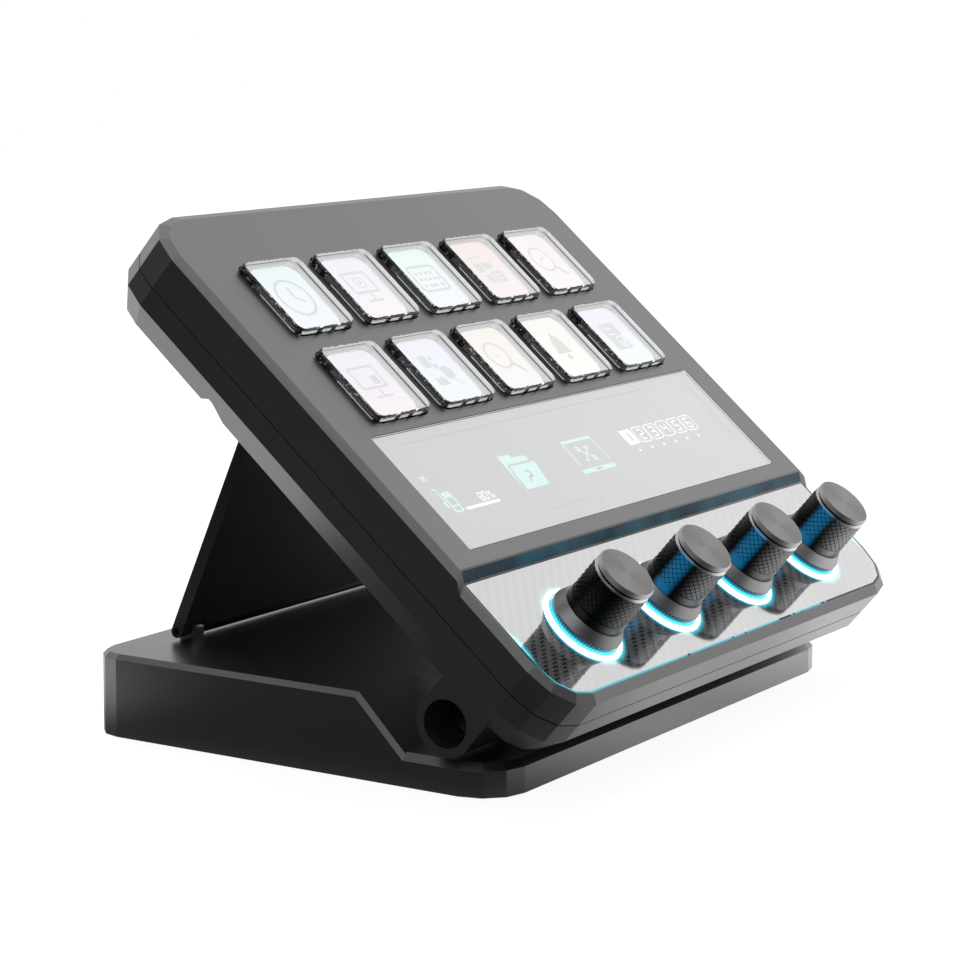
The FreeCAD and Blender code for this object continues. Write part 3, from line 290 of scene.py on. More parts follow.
def dress(finish, *names):
    """Gives CAD nodes their finish."""
    for name in names:
        for held in nodes[name].material_slots:
            held.material = finish


def soften(width, *names):
    """Breaks the sharp moulded or turned edges of CAD nodes with a narrow round."""
    for name in names:
        weld = nodes[name].modifiers.new("join_corners", "WELD")
        weld.merge_threshold = WELD_REACH
        edge = nodes[name].modifiers.new("broken_edges", "BEVEL")
        edge.width = width * MM
        edge.segments = 2
        edge.limit_method = "ANGLE"
        edge.angle_limit = SHARP_EDGE
        edge.harden_normals = True


base_plastic = moulded_plastic("base_plastic", BLACK_PLASTIC, 0.30, dust=(0.012, 0.012, 0.012), ior=2.5)
dress(base_plastic, "base_housing", "base_cover")
soften(0.12, "base_housing")


def rubber(name):
    finish, tree, shader = new_finish(name, IOR=1.45, Specular_IOR_Level=0.3)
    texture = put_group(tree, SPARK_TEXTURE, Grain_Size=0.25 * MM, Roughness=0.75, Wander=0.1)
    tree.links.new(texture.outputs["Roughness"], shader.inputs["Roughness"])
    tree.links.new(blend_color(tree, texture.outputs["Dust"], (0.018, 0.018, 0.018), (0.04, 0.04, 0.04)),
                   shader.inputs["Base Color"])
    add_bump(tree, shader, texture.outputs["Height"], 0.4, 0.05 * MM)
    return finish


soft_rubber = rubber("soft_rubber")
dress(soft_rubber, "grip_mat", "key_mat")

# Screws and pins: turned steel, blackened on the outside ones and bright on the inner ones.
# Each hinge pin sits deep in its lug, so only a dark head with a socket shows there.


def turned_steel(name, color, roughness):
    finish, tree, shader = new_finish(name, Metallic=1.0)
    texture = put_group(tree, SPARK_TEXTURE, Grain_Size=0.3 * MM, Roughness=roughness, Wander=0.15)
    tree.links.new(texture.outputs["Roughness"], shader.inputs["Roughness"])
    worn = tuple(min(1.0, part * 1.5) for part in color)
    tree.links.new(blend_color(tree, texture.outputs["Dust"], color, worn), shader.inputs["Base Color"])
    add_bump(tree, shader, texture.outputs["Height"], 0.1, 0.02 * MM)
    return finish


black_steel = turned_steel("blackened_steel", (0.05, 0.05, 0.052), 0.42)
bright_steel = turned_steel("bright_steel", (0.5, 0.5, 0.51), 0.3)
dress(black_steel, "hinge_pin_left", "hinge_pin_right", "base_screws", "shell_screws", "prop_pin")
dress(bright_steel, "board_screws", "usb_socket")

# Prop plate: one flat moulded plate in the same black plastic, a little smoother than the base,
# with a rolled foot on its pin and an edge that stands in the groove under the unit.
prop_plastic = moulded_plastic("prop_plastic", (0.020, 0.020, 0.021), 0.32, grain=0.1)
dress(prop_plastic, "prop_plate")
soften(0.15, "prop_plate")

# Unit shells: two mouldings of dark plastic with a satin coat, the top one bevelled all round its
# face. They meet in a fine shadow line at mid height.
shell_coat = moulded_plastic("shell_coat", (0.012, 0.012, 0.0123), 0.32, grain=0.09, strength=0.12,
                             dust=(0.014, 0.014, 0.014), ior=2.6)
dress(shell_coat, "top_shell", "bottom_shell")
soften(0.12, "top_shell", "bottom_shell")

# Places on the unit are given in millimetres across the face, along it from the front wall to the
# rear, and out of it. The hinge and the way that a key travels fix this grid in the frame.
HINGE_IN = 16.88
HINGE_DEPTH = 24.23
joints = {joint["name"]: joint for joint in frame["joints"]}
ACROSS = Vector((1, 0, 0))
OUT = Vector(joints["key_1_press"]["axis"]).normalized()
ALONG = OUT.cross(ACROSS)
FACE_START = Vector(joints["unit_tilt"]["pos_m"]) - ALONG * HINGE_IN * MM + OUT * HINGE_DEPTH * MM


def on_face(u, v, w=0.0):
    return FACE_START + (ACROSS * u + ALONG * v + OUT * w) * MM


def from_face(point):
    """The across, along and out millimetres of a point of the frame."""
    offset = Vector(point) - FACE_START
    return tuple(offset.dot(way) / MM for way in (ACROSS, ALONG, OUT))


def middle(name):
    low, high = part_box(name)
    return (Vector(low) + Vector(high)) / 2


def vector_math(tree, operation, first, second=(0, 0, 0)):
    node = tree.nodes.new("ShaderNodeVectorMath")
    node.operation = operation
    put(tree, first, node.inputs[0])
    put(tree, second, node.inputs[1])
    return node.outputs["Value" if operation == "DOT_PRODUCT" else "Vector"]


def make_face_grid():
    """Across, Along and Out in millimetres, for markings and weaves that follow the unit's face."""
    tree, _, way_out = open_group("face_grid", [], ["Across", "Along", "Out"])
    offset = vector_math(tree, "SUBTRACT", own_place(tree), FACE_START)
    for label, way in (("Across", ACROSS), ("Along", ALONG), ("Out", OUT)):
        tree.links.new(vector_math(tree, "DOT_PRODUCT", offset, way / MM), way_out.inputs[label])
    return tree


FACE_GRID = make_face_grid()

# Knob panel: a thin sheet of carbon fibre under clear lacquer. The weave is a twill of flat tows,
# which shows only where the lacquer reflects something dark. Each tow carries a painted sheen along
# its crown, and the rings' glow on the panel is painted into its emission.
TOW = 0.8
KNOB_PITCH = 30.88
KNOB_ROW = 15.57
HALO_START = 8.9
HALO_END = 10.9
HALO_BLUE = (0.08, 0.95, 1.2)


def hypotenuse(tree, x, y):
    return value(tree, "SQRT", value(tree, "ADD", value(tree, "MULTIPLY", x, x), value(tree, "MULTIPLY", y, y)))


def ring_halo(tree, grid):
    """Painted light: the glow that the four rings would throw on the panel, as emission, most of it on the side
    towards the front.
    """
    shifted = value(tree, "ADD", grid.outputs["Across"], 5 * KNOB_PITCH)
    x = value(tree, "SUBTRACT", value(tree, "MODULO", shifted, KNOB_PITCH), KNOB_PITCH / 2)
    y = value(tree, "SUBTRACT", grid.outputs["Along"], KNOB_ROW)
    halo = value(tree, "POWER", remap(tree, hypotenuse(tree, x, y), HALO_START, HALO_END, 1.0, 0.0), 3.0)
    return value(tree, "MULTIPLY", halo, remap(tree, y, -2.0, 6.0, 1.0, 0.3))


def carbon_fibre():
    finish, tree, shader = new_finish("lacquered_carbon", Roughness=0.06, IOR=7.5, Emission_Strength=1.0)
    grid = put_group(tree, FACE_GRID)
    column = value(tree, "DIVIDE", grid.outputs["Across"], TOW)
    row = value(tree, "DIVIDE", grid.outputs["Along"], TOW)
    diagonal = value(tree, "SUBTRACT", value(tree, "FLOOR", column), value(tree, "FLOOR", row))
    turn = value(tree, "MODULO", value(tree, "ADD", diagonal, 400.0), 4.0)
    # Painted sheen: each tow is lighter along its crown and darker at its sides.
    crown_across = value(tree, "SINE", value(tree, "MULTIPLY", column, math.pi * 2))
    crown_along = value(tree, "SINE", value(tree, "MULTIPLY", row, math.pi * 2))
    tow = tree.nodes.new("ShaderNodeMix")
    tree.links.new(value(tree, "LESS_THAN", turn, 1.5), tow.inputs[0])
    tree.links.new(remap(tree, crown_across, -1.0, 1.0, 0.25, 1.0), tow.inputs[2])
    tree.links.new(remap(tree, crown_along, -1.0, 1.0, 0.0, 0.55), tow.inputs[3])
    shade = value(tree, "MULTIPLY", tow.outputs[0], remap(tree, noise(tree, 2600.0), 0.3, 0.7, 0.75, 1.2))
    tree.links.new(blend_color(tree, shade, (0.02, 0.02, 0.021), (0.40, 0.42, 0.43)), shader.inputs["Base Color"])
    # Painted light: the rings' glow on the panel, in the panel's own emission.
    tree.links.new(blend_color(tree, ring_halo(tree, grid), (0, 0, 0), HALO_BLUE), shader.inputs["Emission Color"])
    return finish


dress(carbon_fibre(), "knob_panel")

# Light guide: a clear strip let in round the panel. It is lit from inside at the front left
# corner, and its light thins out to single dashes towards the right.
GUIDE_CYAN = (0.10, 0.78, 1.0)
GUIDE_GLOW = 0.6
GUIDE_RIGHT_END = 67.0


def glowing_guide():
    finish, tree, shader = new_finish("glowing_guide", Base_Color=(0.01, 0.012, 0.014), Roughness=0.2,
                                      Emission_Strength=GUIDE_GLOW)
    grid = put_group(tree, FACE_GRID)
    front = remap(tree, grid.outputs["Along"], 7.0, 13.0, 1.0, 0.0, True)
    thinning = remap(tree, grid.outputs["Across"], -55.0, 60.0, 0.25, 0.62)
    broken = value(tree, "GREATER_THAN", noise(tree, 240.0), thinning)
    left = value(tree, "LESS_THAN", grid.outputs["Across"], GUIDE_RIGHT_END)
    glow = value(tree, "MULTIPLY", value(tree, "MULTIPLY", front, broken), left)
    tree.links.new(blend_color(tree, glow, (0, 0, 0), GUIDE_CYAN), shader.inputs["Emission Color"])
    return finish


dress(glowing_guide(), "panel_light_guide")

# Step light bar: a smoky translucent strip in the step behind the panel, dimly lit in deep teal.


def smoky_bar():
    finish, tree, shader = new_finish("smoky_bar", Roughness=0.25, IOR=1.33, Emission_Strength=0.10)
    smoke = remap(tree, noise(tree, 90.0), 0.35, 0.65, 0.0, 1.0, True)
    teal = blend_color(tree, smoke, (0.003, 0.015, 0.03), (0.008, 0.05, 0.08))
    tree.links.new(teal, shader.inputs["Base Color"])
    light = blend_color(tree, smoke, (0.005, 0.14, 0.24), (0.02, 0.42, 0.60))
    tree.links.new(light, shader.inputs["Emission Color"])
    return finish


dress(smoky_bar(), "step_light_bar")

# Screen: a flush sheet of clear glass over a strip display. The picture is on a film under the
# glass: a pale grey field with line icons and a row of numbered tabs.
SCREEN_GREY = (0.585, 0.585, 0.585)
SCREEN_ICE = (0.70, 0.90, 0.88)
SCREEN_WHITE = (0.95, 0.98, 0.98)
PANE_WIDE = 123.4
PANE_TALL = 29.2
PANE_RIM = 0.06
FILM_WIDE = 123.2
FILM_TALL = 29.0
GLASS_UNDER = -1.19
FILM_LIFT = 0.02
TAB_LEFT = 17.2
TAB_STEP = 5.12


def screen_pane(screen_v):
    """Clear glass whose sawn sides are blackened."""
    finish, tree, shader = new_finish("screen_glass", Roughness=0.02, IOR=1.45, Transmission_Weight=1.0)
    grid = put_group(tree, FACE_GRID)
    x = value(tree, "ABSOLUTE", grid.outputs["Across"])
    y = value(tree, "ABSOLUTE", value(tree, "SUBTRACT", grid.outputs["Along"], screen_v))
    side = value(tree, "MAXIMUM", value(tree, "GREATER_THAN", x, PANE_WIDE / 2 - PANE_RIM),
                 value(tree, "GREATER_THAN", y, PANE_TALL / 2 - PANE_RIM))
    tree.links.new(blend_color(tree, side, (0.98, 0.99, 0.99), (0.01, 0.01, 0.01)), shader.inputs["Base Color"])
    return finish


def lit_film(name, color, strength):
    return new_finish(name, Base_Color=(0.02, 0.02, 0.02), Roughness=0.5,
                      Emission_Color=color, Emission_Strength=strength)[0]


dark_display = moulded_plastic("display_frame", (0.03, 0.032, 0.034), 0.3)
dress(dark_display, "screen_display", "key_display")


def make_piece(name, corners, sides, finish, body):
    mesh = bpy.data.meshes.new(name)
    mesh.from_pydata([tuple(corner) for corner in corners], [], sides)
    mesh.materials.append(finish)
    thing = bpy.data.objects.new(name, mesh)
    bpy.context.scene.collection.objects.link(thing)
    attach(thing, body)
    return thing


def stroke(points, width, closed=False):
    """A line of even width through flat points, mitred at its corners, as quads of flat corners."""
    count = len(points)
    sides = []
    for i in range(count):
        before = points[i - 1] if i > 0 or closed else None
        after = points[(i + 1) % count] if i < count - 1 or closed else None
        ways = [Vector((b[0] - a[0], b[1] - a[1])).normalized()
                for a, b in ((before, points[i]), (points[i], after)) if a is not None and b is not None]
        way = sum(ways, Vector((0, 0))).normalized()
        square = Vector((-way.y, way.x))
        stretch = 1 / max(0.4, way.dot(ways[0]))
        offset = square * width / 2 * stretch
        at = Vector(points[i])
        sides.append((at + offset, at - offset))
    quads = []
    for i in range(count if closed else count - 1):
        first, second = sides[i], sides[(i + 1) % count]
        quads.append([first[0], first[1], second[1], second[0]])
    return quads


def frame_line(x, y, width, height, line, corner=0.0):
    """A rectangle outline, with its corners cut off by corner."""
    if not corner:
        return stroke([(x, y), (x + width, y), (x + width, y + height), (x, y + height)], line, True)
    points = [(x + corner, y), (x + width - corner, y), (x + width, y + corner), (x + width, y + height - corner),
              (x + width - corner, y + height), (x + corner, y + height), (x, y + height - corner), (x, y + corner)]
    return stroke(points, line, True)


def block(x, y, width, height):
    return [[(x, y), (x + width, y), (x + width, y + height), (x, y + height)]]


def circle_points(x, y, radius, count):
    turns = [2 * math.pi * i / count for i in range(count)]
    return [(x + radius * math.cos(turn), y + radius * math.sin(turn)) for turn in turns]


def ring_line(x, y, radius, line, count):
    return stroke(circle_points(x, y, radius, count), line, True)


# Seven-segment strokes of a plain digit, each from and to in shares of its width and height.
SEGMENT_SHARES = {"top": ((0, 1), (1, 1)), "high_left": ((0, 0.5), (0, 1)), "high_right": ((1, 0.5), (1, 1)),
                  "mid": ((0, 0.5), (1, 0.5)), "low_left": ((0, 0), (0, 0.5)), "low_right": ((1, 0), (1, 0.5)),
                  "foot": ((0, 0), (1, 0))}
DIGITS = {"0": "top high_left high_right low_left low_right foot", "1": "high_right low_right",
          "2": "top high_right mid low_left foot", "3": "top high_right mid low_right foot",
          "4": "high_left high_right mid low_right", "5": "top high_left mid low_right foot",
          "6": "top high_left mid low_left low_right foot",
          "8": "top high_left high_right mid low_left low_right foot"}


def digit(sign, x, y, width, height, line):
    quads = []
    for name in DIGITS[sign].split():
        (x0, y0), (x1, y1) = SEGMENT_SHARES[name]
        ends = [(x + x0 * width, y + y0 * height), (x + x1 * width, y + y1 * height)]
        quads += stroke(ends, line)
    return quads


def marks_piece(name, quads, to_place, finish, body):
    """Flat marks as one mesh: each polygon's flat corners are put in place by to_place."""
    corners = []
    sides = []
    for polygon in quads:
        sides.append(tuple(range(len(corners), len(corners) + len(polygon))))
        corners += [to_place(x, y) for x, y in polygon]
    make_piece(name, corners, sides, finish, body)


def screen_place(lift):
    return lambda u, v: on_face(u, v, GLASS_UNDER + lift)


def oblong(u, v, width, height, out):
    """The four corners of a flat sheet round a place on the face."""
    return [on_face(u + x * width / 2, v + y * height / 2, out) for x, y in ((-1, -1), (1, -1), (1, 1), (-1, 1))]


def screen_film(screen_v):
    corners = oblong(0, screen_v, FILM_WIDE, FILM_TALL, GLASS_UNDER)
    finish, tree, shader = new_finish("screen_field", Base_Color=(0.05, 0.05, 0.05), Roughness=0.5,
                                      Emission_Strength=1.0)
    grid = put_group(tree, FACE_GRID)
    fade = remap(tree, grid.outputs["Across"], -60.0, 60.0, 0.0, 1.0, True)
    tree.links.new(blend_color(tree, fade, SCREEN_GREY, (0.62, 0.62, 0.62)), shader.inputs["Emission Color"])
    make_piece("screen_film", corners, [(0, 1, 2, 3)], finish, "unit")


def screen_icons():
    # A small device with a hook and a flap, at the left end, and a mark over it.
    ice = frame_line(-55.1, 45.8, 2.5, 4.7, 0.45, 0.3)
    ice += frame_line(-55.0, 45.8, 2.3, 1.4, 0.4) + block(-54.8, 49.3, 1.9, 0.9)
    ice += stroke([(-57.0, 51.8), (-56.0, 51.8), (-55.9, 48.2)], 0.35)
    ice += [[(-56.8, 48.5), (-55.9, 48.5), (-55.8, 47.0), (-56.6, 47.0)]]
    ice += stroke([(-57.1, 55.3), (-55.8, 54.1)], 0.4) + stroke([(-55.7, 55.3), (-57.1, 54.1)], 0.4)
    # A folder with a sheet in front of it.
    ice += [[(-29.3, 55.6), (-25.3, 55.5), (-24.8, 54.7), (-24.8, 53.2), (-28.4, 53.2), (-29.5, 47.4)]]
    ice += [[(-24.9, 54.7), (-20.6, 54.5), (-20.2, 54.1), (-20.2, 53.2), (-24.9, 53.2)]]
    ice += [[(-28.0, 52.7), (-19.2, 52.7), (-18.9, 52.2), (-20.5, 46.6), (-28.8, 46.6)]]
    # An open laptop with crossed tools on its screen.
    laptop = stroke([(-5.5, 48.7), (-5.3, 55.4)], 0.45) + stroke([(5.8, 55.4), (6.0, 48.7)], 0.35)
    laptop += stroke([(-5.5, 55.1), (5.8, 55.1)], 0.75) + block(-6.5, 46.6, 12.8, 1.1)
    laptop += stroke([(-1.6, 52.8), (1.7, 49.8)], 0.4) + stroke([(-1.4, 49.8), (1.6, 52.8)], 0.4)
    laptop += ring_line(-1.6, 52.8, 0.6, 0.45, 12) + ring_line(1.7, 49.9, 0.6, 0.45, 12)
    laptop += stroke([(0.9, 53.0), (1.9, 53.0), (2.1, 52.2)], 0.4)
    laptop += stroke([(-2.0, 50.1), (-1.5, 49.5), (-0.8, 49.6)], 0.4)
    ice_light = lit_film("screen_ice", SCREEN_ICE, 1.0)
    marks_piece("screen_icons", ice + laptop, screen_place(FILM_LIFT), ice_light, "unit")
    # The charge reading over a short bar.
    white = digit("8", -44.9, 46.8, 1.0, 1.9, 0.3) + digit("0", -43.3, 46.8, 1.0, 1.9, 0.3)
    white += stroke([(-41.4, 46.8), (-40.6, 48.7)], 0.25)
    white += ring_line(-41.5, 48.3, 0.35, 0.22, 8) + ring_line(-40.4, 47.2, 0.35, 0.22, 8)
    white += block(-51.5, 45.6, 11.8, 0.7)
    # Six numbered tabs with a dot under each, the first one filled.
    for number in range(1, 7):
        left = TAB_LEFT + (number - 1) * TAB_STEP
        if number == 1:
            white += block(left, 50.6, 4.5, 4.1)
        else:
            white += frame_line(left, 50.6, 4.6, 4.1, 0.28, 0.6)
            white += digit(str(number), left + 1.45, 51.4, 1.7, 2.5, 0.42)
        white += [circle_points(left + 1.9, 48.9, 0.42, 10)]
    white_light = lit_film("screen_white", SCREEN_WHITE, 1.05)
    marks_piece("screen_numbers", white, screen_place(FILM_LIFT), white_light, "unit")
    grey_light = lit_film("screen_shadow", (0.50, 0.50, 0.50), 1.0)
    grey = digit("1", 18.1, 51.4, 1.7, 2.5, 0.45)
    # A curled note on the sheet, and a slot in the laptop's front edge.
    grey += stroke([(-24.4, 51.0), (-23.4, 50.6), (-23.3, 49.4), (-24.6, 49.4), (-25.2, 48.2)], 0.4)
    grey += block(-1.3, 47.0, 2.4, 0.35)
    marks_piece("screen_tab_number", grey, screen_place(2 * FILM_LIFT), grey_light, "unit")
    faint = (stroke([(-55.4, 63.3), (41.4, 63.8)], 0.2) + stroke([(57.9, 63.3), (57.2, 45.8)], 0.3)
             + stroke([(-27.7, 41.0), (-7.0, 41.0), (-11.3, 37.8)], 0.15))
    marks_piece("screen_lines", faint, screen_place(FILM_LIFT), grey_light, "unit")


_, screen_middle, _ = from_face(middle("screen_glass"))
dress(screen_pane(screen_middle), "screen_glass")
screen_film(screen_middle)
screen_icons()

# Boards: green glass-fibre boards with a faint grain, out of sight inside the unit.
board_green = moulded_plastic("board_green", (0.015, 0.06, 0.03), 0.35, grain=0.4)
dress(board_green, "main_board", "knob_board")

# Keys: clear moulded acrylic caps over a display. Each shows a soft two-colour picture with a
# pale grey line icon on a film under the cap. From outside the walls are painted black, a painted
# reflection of the dark well round the key, broken by painted glints where the picture's light would get out.
KEY_SIDE = 19.1
CAP_CORNER = 2.2
KEY_PITCH = (23.6, 23.7)
LOWER_ROW = 78.4
KEY_UNDER = -2.43
WALL_FAR = 9.3
WALL_EDGE = (9.32, 9.40)
RAGGED_EDGE = (9.0, 9.15)
SPARK_EDGE = (9.1, 9.2)
PANE_HEIGHTS = (0.25, 1.05)
FOOT_HEIGHTS = (0.0, 0.16)
PICTURE_WIDE = 15.0
PICTURE_TALL = 17.2
PICTURE_CORNER = 3.2
PICTURE_BLUR = 0.08
FILM_OVER = 0.1
MARGIN_GREY = (0.56, 0.56, 0.56)
ICON_GREY = (0.66, 0.655, 0.665)
PICTURE_COLORS = [
    ((0.82, 0.91, 0.92), (0.87, 0.91, 0.96)), ((0.87, 0.84, 0.92), (0.92, 0.86, 0.90)),
    ((0.79, 0.92, 0.88), (0.86, 0.91, 0.94)), ((0.90, 0.78, 0.76), (0.90, 0.82, 0.82)),
    ((0.92, 0.83, 0.87), (0.91, 0.86, 0.89)), ((0.85, 0.83, 0.91), (0.91, 0.84, 0.88)),
    ((0.85, 0.85, 0.94), (0.86, 0.91, 0.93)), ((0.92, 0.86, 0.82), (0.92, 0.89, 0.87)),
    ((0.93, 0.90, 0.83), (0.94, 0.93, 0.90)), ((0.83, 0.83, 0.93), (0.86, 0.91, 0.92)),
]


def make_key_grid():
    """Each key's own X and Y in millimetres from its middle, and its height out of the face."""
    tree, _, way_out = open_group("key_grid", [], ["X", "Y", "Out"])
    grid = put_group(tree, FACE_GRID)
    ways = (("X", "Across", KEY_PITCH[0], 0.0), ("Y", "Along", KEY_PITCH[1], LOWER_ROW))
    for label, source, pitch, start in ways:
        shifted = value(tree, "ADD", grid.outputs[source], 10.5 * pitch - start)
        folded = value(tree, "SUBTRACT", value(tree, "MODULO", shifted, pitch), pitch / 2)
        tree.links.new(folded, way_out.inputs[label])
    tree.links.new(grid.outputs["Out"], way_out.inputs["Out"])
    return tree


KEY_GRID = make_key_grid()


def within(tree, source, low, high):
    """1 where source lies between low and high."""
    return value(tree, "MULTIPLY", value(tree, "GREATER_THAN", source, low), value(tree, "LESS_THAN", source, high))


def past_corner(tree, x, y, half_x, half_y):
    """How far a point lies outside a rectangle's inner part, measured round its corners."""
    over = [value(tree, "MAXIMUM", value(tree, "SUBTRACT", value(tree, "ABSOLUTE", reach), half), 0.0)
            for reach, half in ((x, half_x), (y, half_y))]
    return hypotenuse(tree, *over)


def line_noise(tree, source, scale, detail):
    """Noise that changes with one number only."""
    node = tree.nodes.new("ShaderNodeTexNoise")
    node.noise_dimensions = "1D"
    node.inputs["Scale"].default_value = scale
    node.inputs["Detail"].default_value = detail
    tree.links.new(source, node.inputs["W"])
    return node.outputs[0]


def clear_cap():
    """Clear from above and from inside; from outside its walls are painted black as a reflection of the dark well,
    with painted glints of light in panes and sparks.
    """
    finish, tree, shader = new_finish("clear_acrylic", Roughness=0.02, IOR=1.49, Transmission_Weight=1.0,
                                      Emission_Strength=1.0)
    grid = put_group(tree, KEY_GRID)
    x, y, out = grid.outputs["X"], grid.outputs["Y"], grid.outputs["Out"]
    straight = KEY_SIDE / 2 - CAP_CORNER
    far = value(tree, "ADD", past_corner(tree, x, y, straight, straight), straight)
    specks = noise(tree, 1300.0)
    ragged = value(tree, "MULTIPLY", value(tree, "GREATER_THAN", specks, 0.5), remap(tree, far, *RAGGED_EDGE))
    outside = value(tree, "SUBTRACT", 1.0, tree.nodes.new("ShaderNodeNewGeometry").outputs["Backfacing"])
    painted_black_wall = value(tree, "MULTIPLY", value(tree, "MAXIMUM", remap(tree, far, *WALL_EDGE), ragged), outside)
    # Painted reflection: from outside, the walls are coloured black where they would mirror the dark well.
    tree.links.new(blend_color(tree, painted_black_wall, (0.98, 0.99, 0.99), (0.002, 0.002, 0.002)), shader.inputs["Base Color"])
    tree.links.new(remap(tree, painted_black_wall, 0.0, 1.0, 0.5, 0.12), shader.inputs["Specular IOR Level"])
    # Painted glints: panes of grey light on the front wall, sparks near the rim and a line at the left foot, as
    # emission.
    front = value(tree, "MULTIPLY", within(tree, out, *PANE_HEIGHTS), value(tree, "LESS_THAN", y, -WALL_FAR))
    panes = line_noise(tree, value(tree, "ADD", x, y), 0.22, 0.0)
    pane_glint = value(tree, "MULTIPLY", front, value(tree, "GREATER_THAN", panes, 0.46))
    spark_glint = value(tree, "MULTIPLY", value(tree, "GREATER_THAN", specks, 0.66), remap(tree, far, *SPARK_EDGE))
    foot = value(tree, "MULTIPLY", within(tree, out, *FOOT_HEIGHTS),
                 value(tree, "MULTIPLY", value(tree, "LESS_THAN", x, -WALL_FAR), value(tree, "LESS_THAN", y, 2.0)))
    light = value(tree, "MAXIMUM", value(tree, "MAXIMUM", pane_glint, value(tree, "MULTIPLY", spark_glint, 0.5)), foot)
    light = value(tree, "MULTIPLY", light, outside)
    tree.links.new(blend_color(tree, light, (0, 0, 0), (0.46, 0.47, 0.47)), shader.inputs["Emission Color"])
    return finish


dress(clear_cap(), *["key_cap_%d" % n for n in range(1, 11)])


def picture_film(number, u, v):
    """The picture's colours run from its rear edge to its front edge inside a rounded oblong."""
    finish, tree, shader = new_finish("key_picture_%d" % number, Base_Color=(0.04, 0.04, 0.04), Roughness=0.6,
                                      Emission_Strength=1.0)
    grid = put_group(tree, KEY_GRID)
    far = past_corner(tree, grid.outputs["X"], grid.outputs["Y"],
                      PICTURE_WIDE / 2 - PICTURE_CORNER, PICTURE_TALL / 2 - PICTURE_CORNER)
    outside = remap(tree, far, PICTURE_CORNER - PICTURE_BLUR, PICTURE_CORNER + PICTURE_BLUR)
    rear, front = PICTURE_COLORS[number - 1]
    picture = blend_color(tree, remap(tree, grid.outputs["Y"], -6.0, 6.0, 0.0, 1.0, True), front, rear)
    tree.links.new(blend_color(tree, outside, picture, MARGIN_GREY), shader.inputs["Emission Color"])
    side = KEY_SIDE + 2 * FILM_OVER
    corners = oblong(u, v, side, side, KEY_UNDER)
    make_piece("key_picture_%d" % number, corners, [(0, 1, 2, 3)], finish, "key_%d" % number)


def monitor_icon():
    return (frame_line(-4.0, -1.2, 8.0, 5.4, 0.65, 0.3) + stroke([(0.6, -1.2), (0.6, -3.3)], 0.65)
            + block(-2.0, -3.9, 5.2, 0.55))


def magnifier_icon():
    return ring_line(-0.6, 0.9, 3.5, 0.6, 36) + stroke([(1.9, -1.6), (4.6, -4.4)], 0.85)


def icon_shapes():
    """Ten icons, each as grey marks and the pale marks that lie on them."""
    clock = ring_line(0, 0, 4.7, 0.7, 40) + stroke([(0, 2.9), (0, 0), (2.0, -1.4)], 0.7)
    play = monitor_icon() + frame_line(-1.3, 0.2, 2.8, 2.6, 0.35, 0.5) + [[(-0.3, 0.9), (0.9, 1.5), (-0.3, 2.1)]]
    keyboard = frame_line(-4.8, -3.4, 9.6, 7.0, 0.65, 0.7)
    for row, keys in enumerate(((-3.4, 3.0, 2.4), (-3.4, -1.7, 0.0, 1.7, 3.0), (-3.4, -1.7, 0.0, 1.7))):
        height = -2.3 + row * 1.8
        if row == 0:
            keyboard += block(-1.6, height, 3.2, 0.7)
        for left in keys:
            keyboard += block(left, height, 1.0, 0.7)
    papers = (stroke([(-3.9, 0.6), (-3.9, 4.0), (0.9, 4.0)], 0.4) + block(-3.9, -0.4, 2.4, 2.6)
              + block(-0.9, 0.4, 3.4, 1.9) + block(-3.0, -3.6, 2.2, 2.4) + block(-0.4, -3.8, 4.2, 3.2))
    lines = block(0.5, -2.9, 2.2, 0.4) + block(0.5, -1.8, 2.2, 0.4)
    window = monitor_icon() + block(0.6, -0.4, 2.2, 2.2)
    tools = (block(-3.6, 1.0, 2.6, 3.2) + [[(-0.4, 2.9), (1.0, 2.9), (0.3, 4.2)]]
             + [circle_points(2.0, -0.9, 1.8, 24)] + block(-3.6, -3.9, 3.4, 2.2)
             + block(-0.6, 0.4, 1.2, 1.4) + stroke([(1.6, -2.2), (4.4, -4.6)], 0.35))
    arrows = (stroke([(-2.6, 0.2), (-1.4, -1.0), (-2.6, -2.2)], 0.4)
              + stroke([(-0.8, 0.2), (0.4, -1.0), (-0.8, -2.2)], 0.4))
    bell = [[(-3.0, -1.8), (3.0, -1.8), (2.3, -0.8), (2.0, 1.4), (1.1, 3.0), (0.4, 3.4), (0.4, 4.2), (-0.4, 4.2),
             (-0.4, 3.4), (-1.1, 3.0), (-2.0, 1.4), (-2.3, -0.8)]]
    bell += [circle_points(0.2, -3.0, 0.8, 16)]
    sheet_lines = block(-2.2, 2.2, 2.8, 0.4) + block(-2.2, 0.6, 2.8, 0.4)
    tick = frame_line(-0.4, -3.0, 2.9, 2.9, 0.35, 0.6) + stroke([(0.2, -1.7), (1.0, -2.5), (3.0, 0.4)], 0.4)
    find = magnifier_icon() + stroke([(-1.6, 0.5), (0.4, 1.3)], 0.45)
    zoom = magnifier_icon() + block(-0.9, 0.6, 0.6, 0.6)
    sheet = block(-3.4, -3.8, 6.4, 7.8)
    return [(clock, []), (play, []), (keyboard, []), (papers, lines), (find, []),
            (window, []), (tools, arrows), (zoom, []), (bell, []), (sheet, sheet_lines + tick)]


def dress_keys():
    grey_light = lit_film("key_icon_grey", ICON_GREY, 1.0)
    pale_light = lit_film("key_icon_pale", (0.90, 0.90, 0.93), 1.0)
    for number, (grey, pale) in enumerate(icon_shapes(), 1):
        u, v, _ = from_face(middle("key_cap_%d" % number))
        picture_film(number, u, v)
        for name, marks, light, lift in (("key_icon_%d", grey, grey_light, FILM_LIFT),
                                         ("key_icon_pale_%d", pale, pale_light, 2 * FILM_LIFT)):
            if marks:
                marks_piece(name % number, marks, lambda x, y: on_face(u + x, v + y, KEY_UNDER + lift),
                            light, "key_%d" % number)


dress_keys()
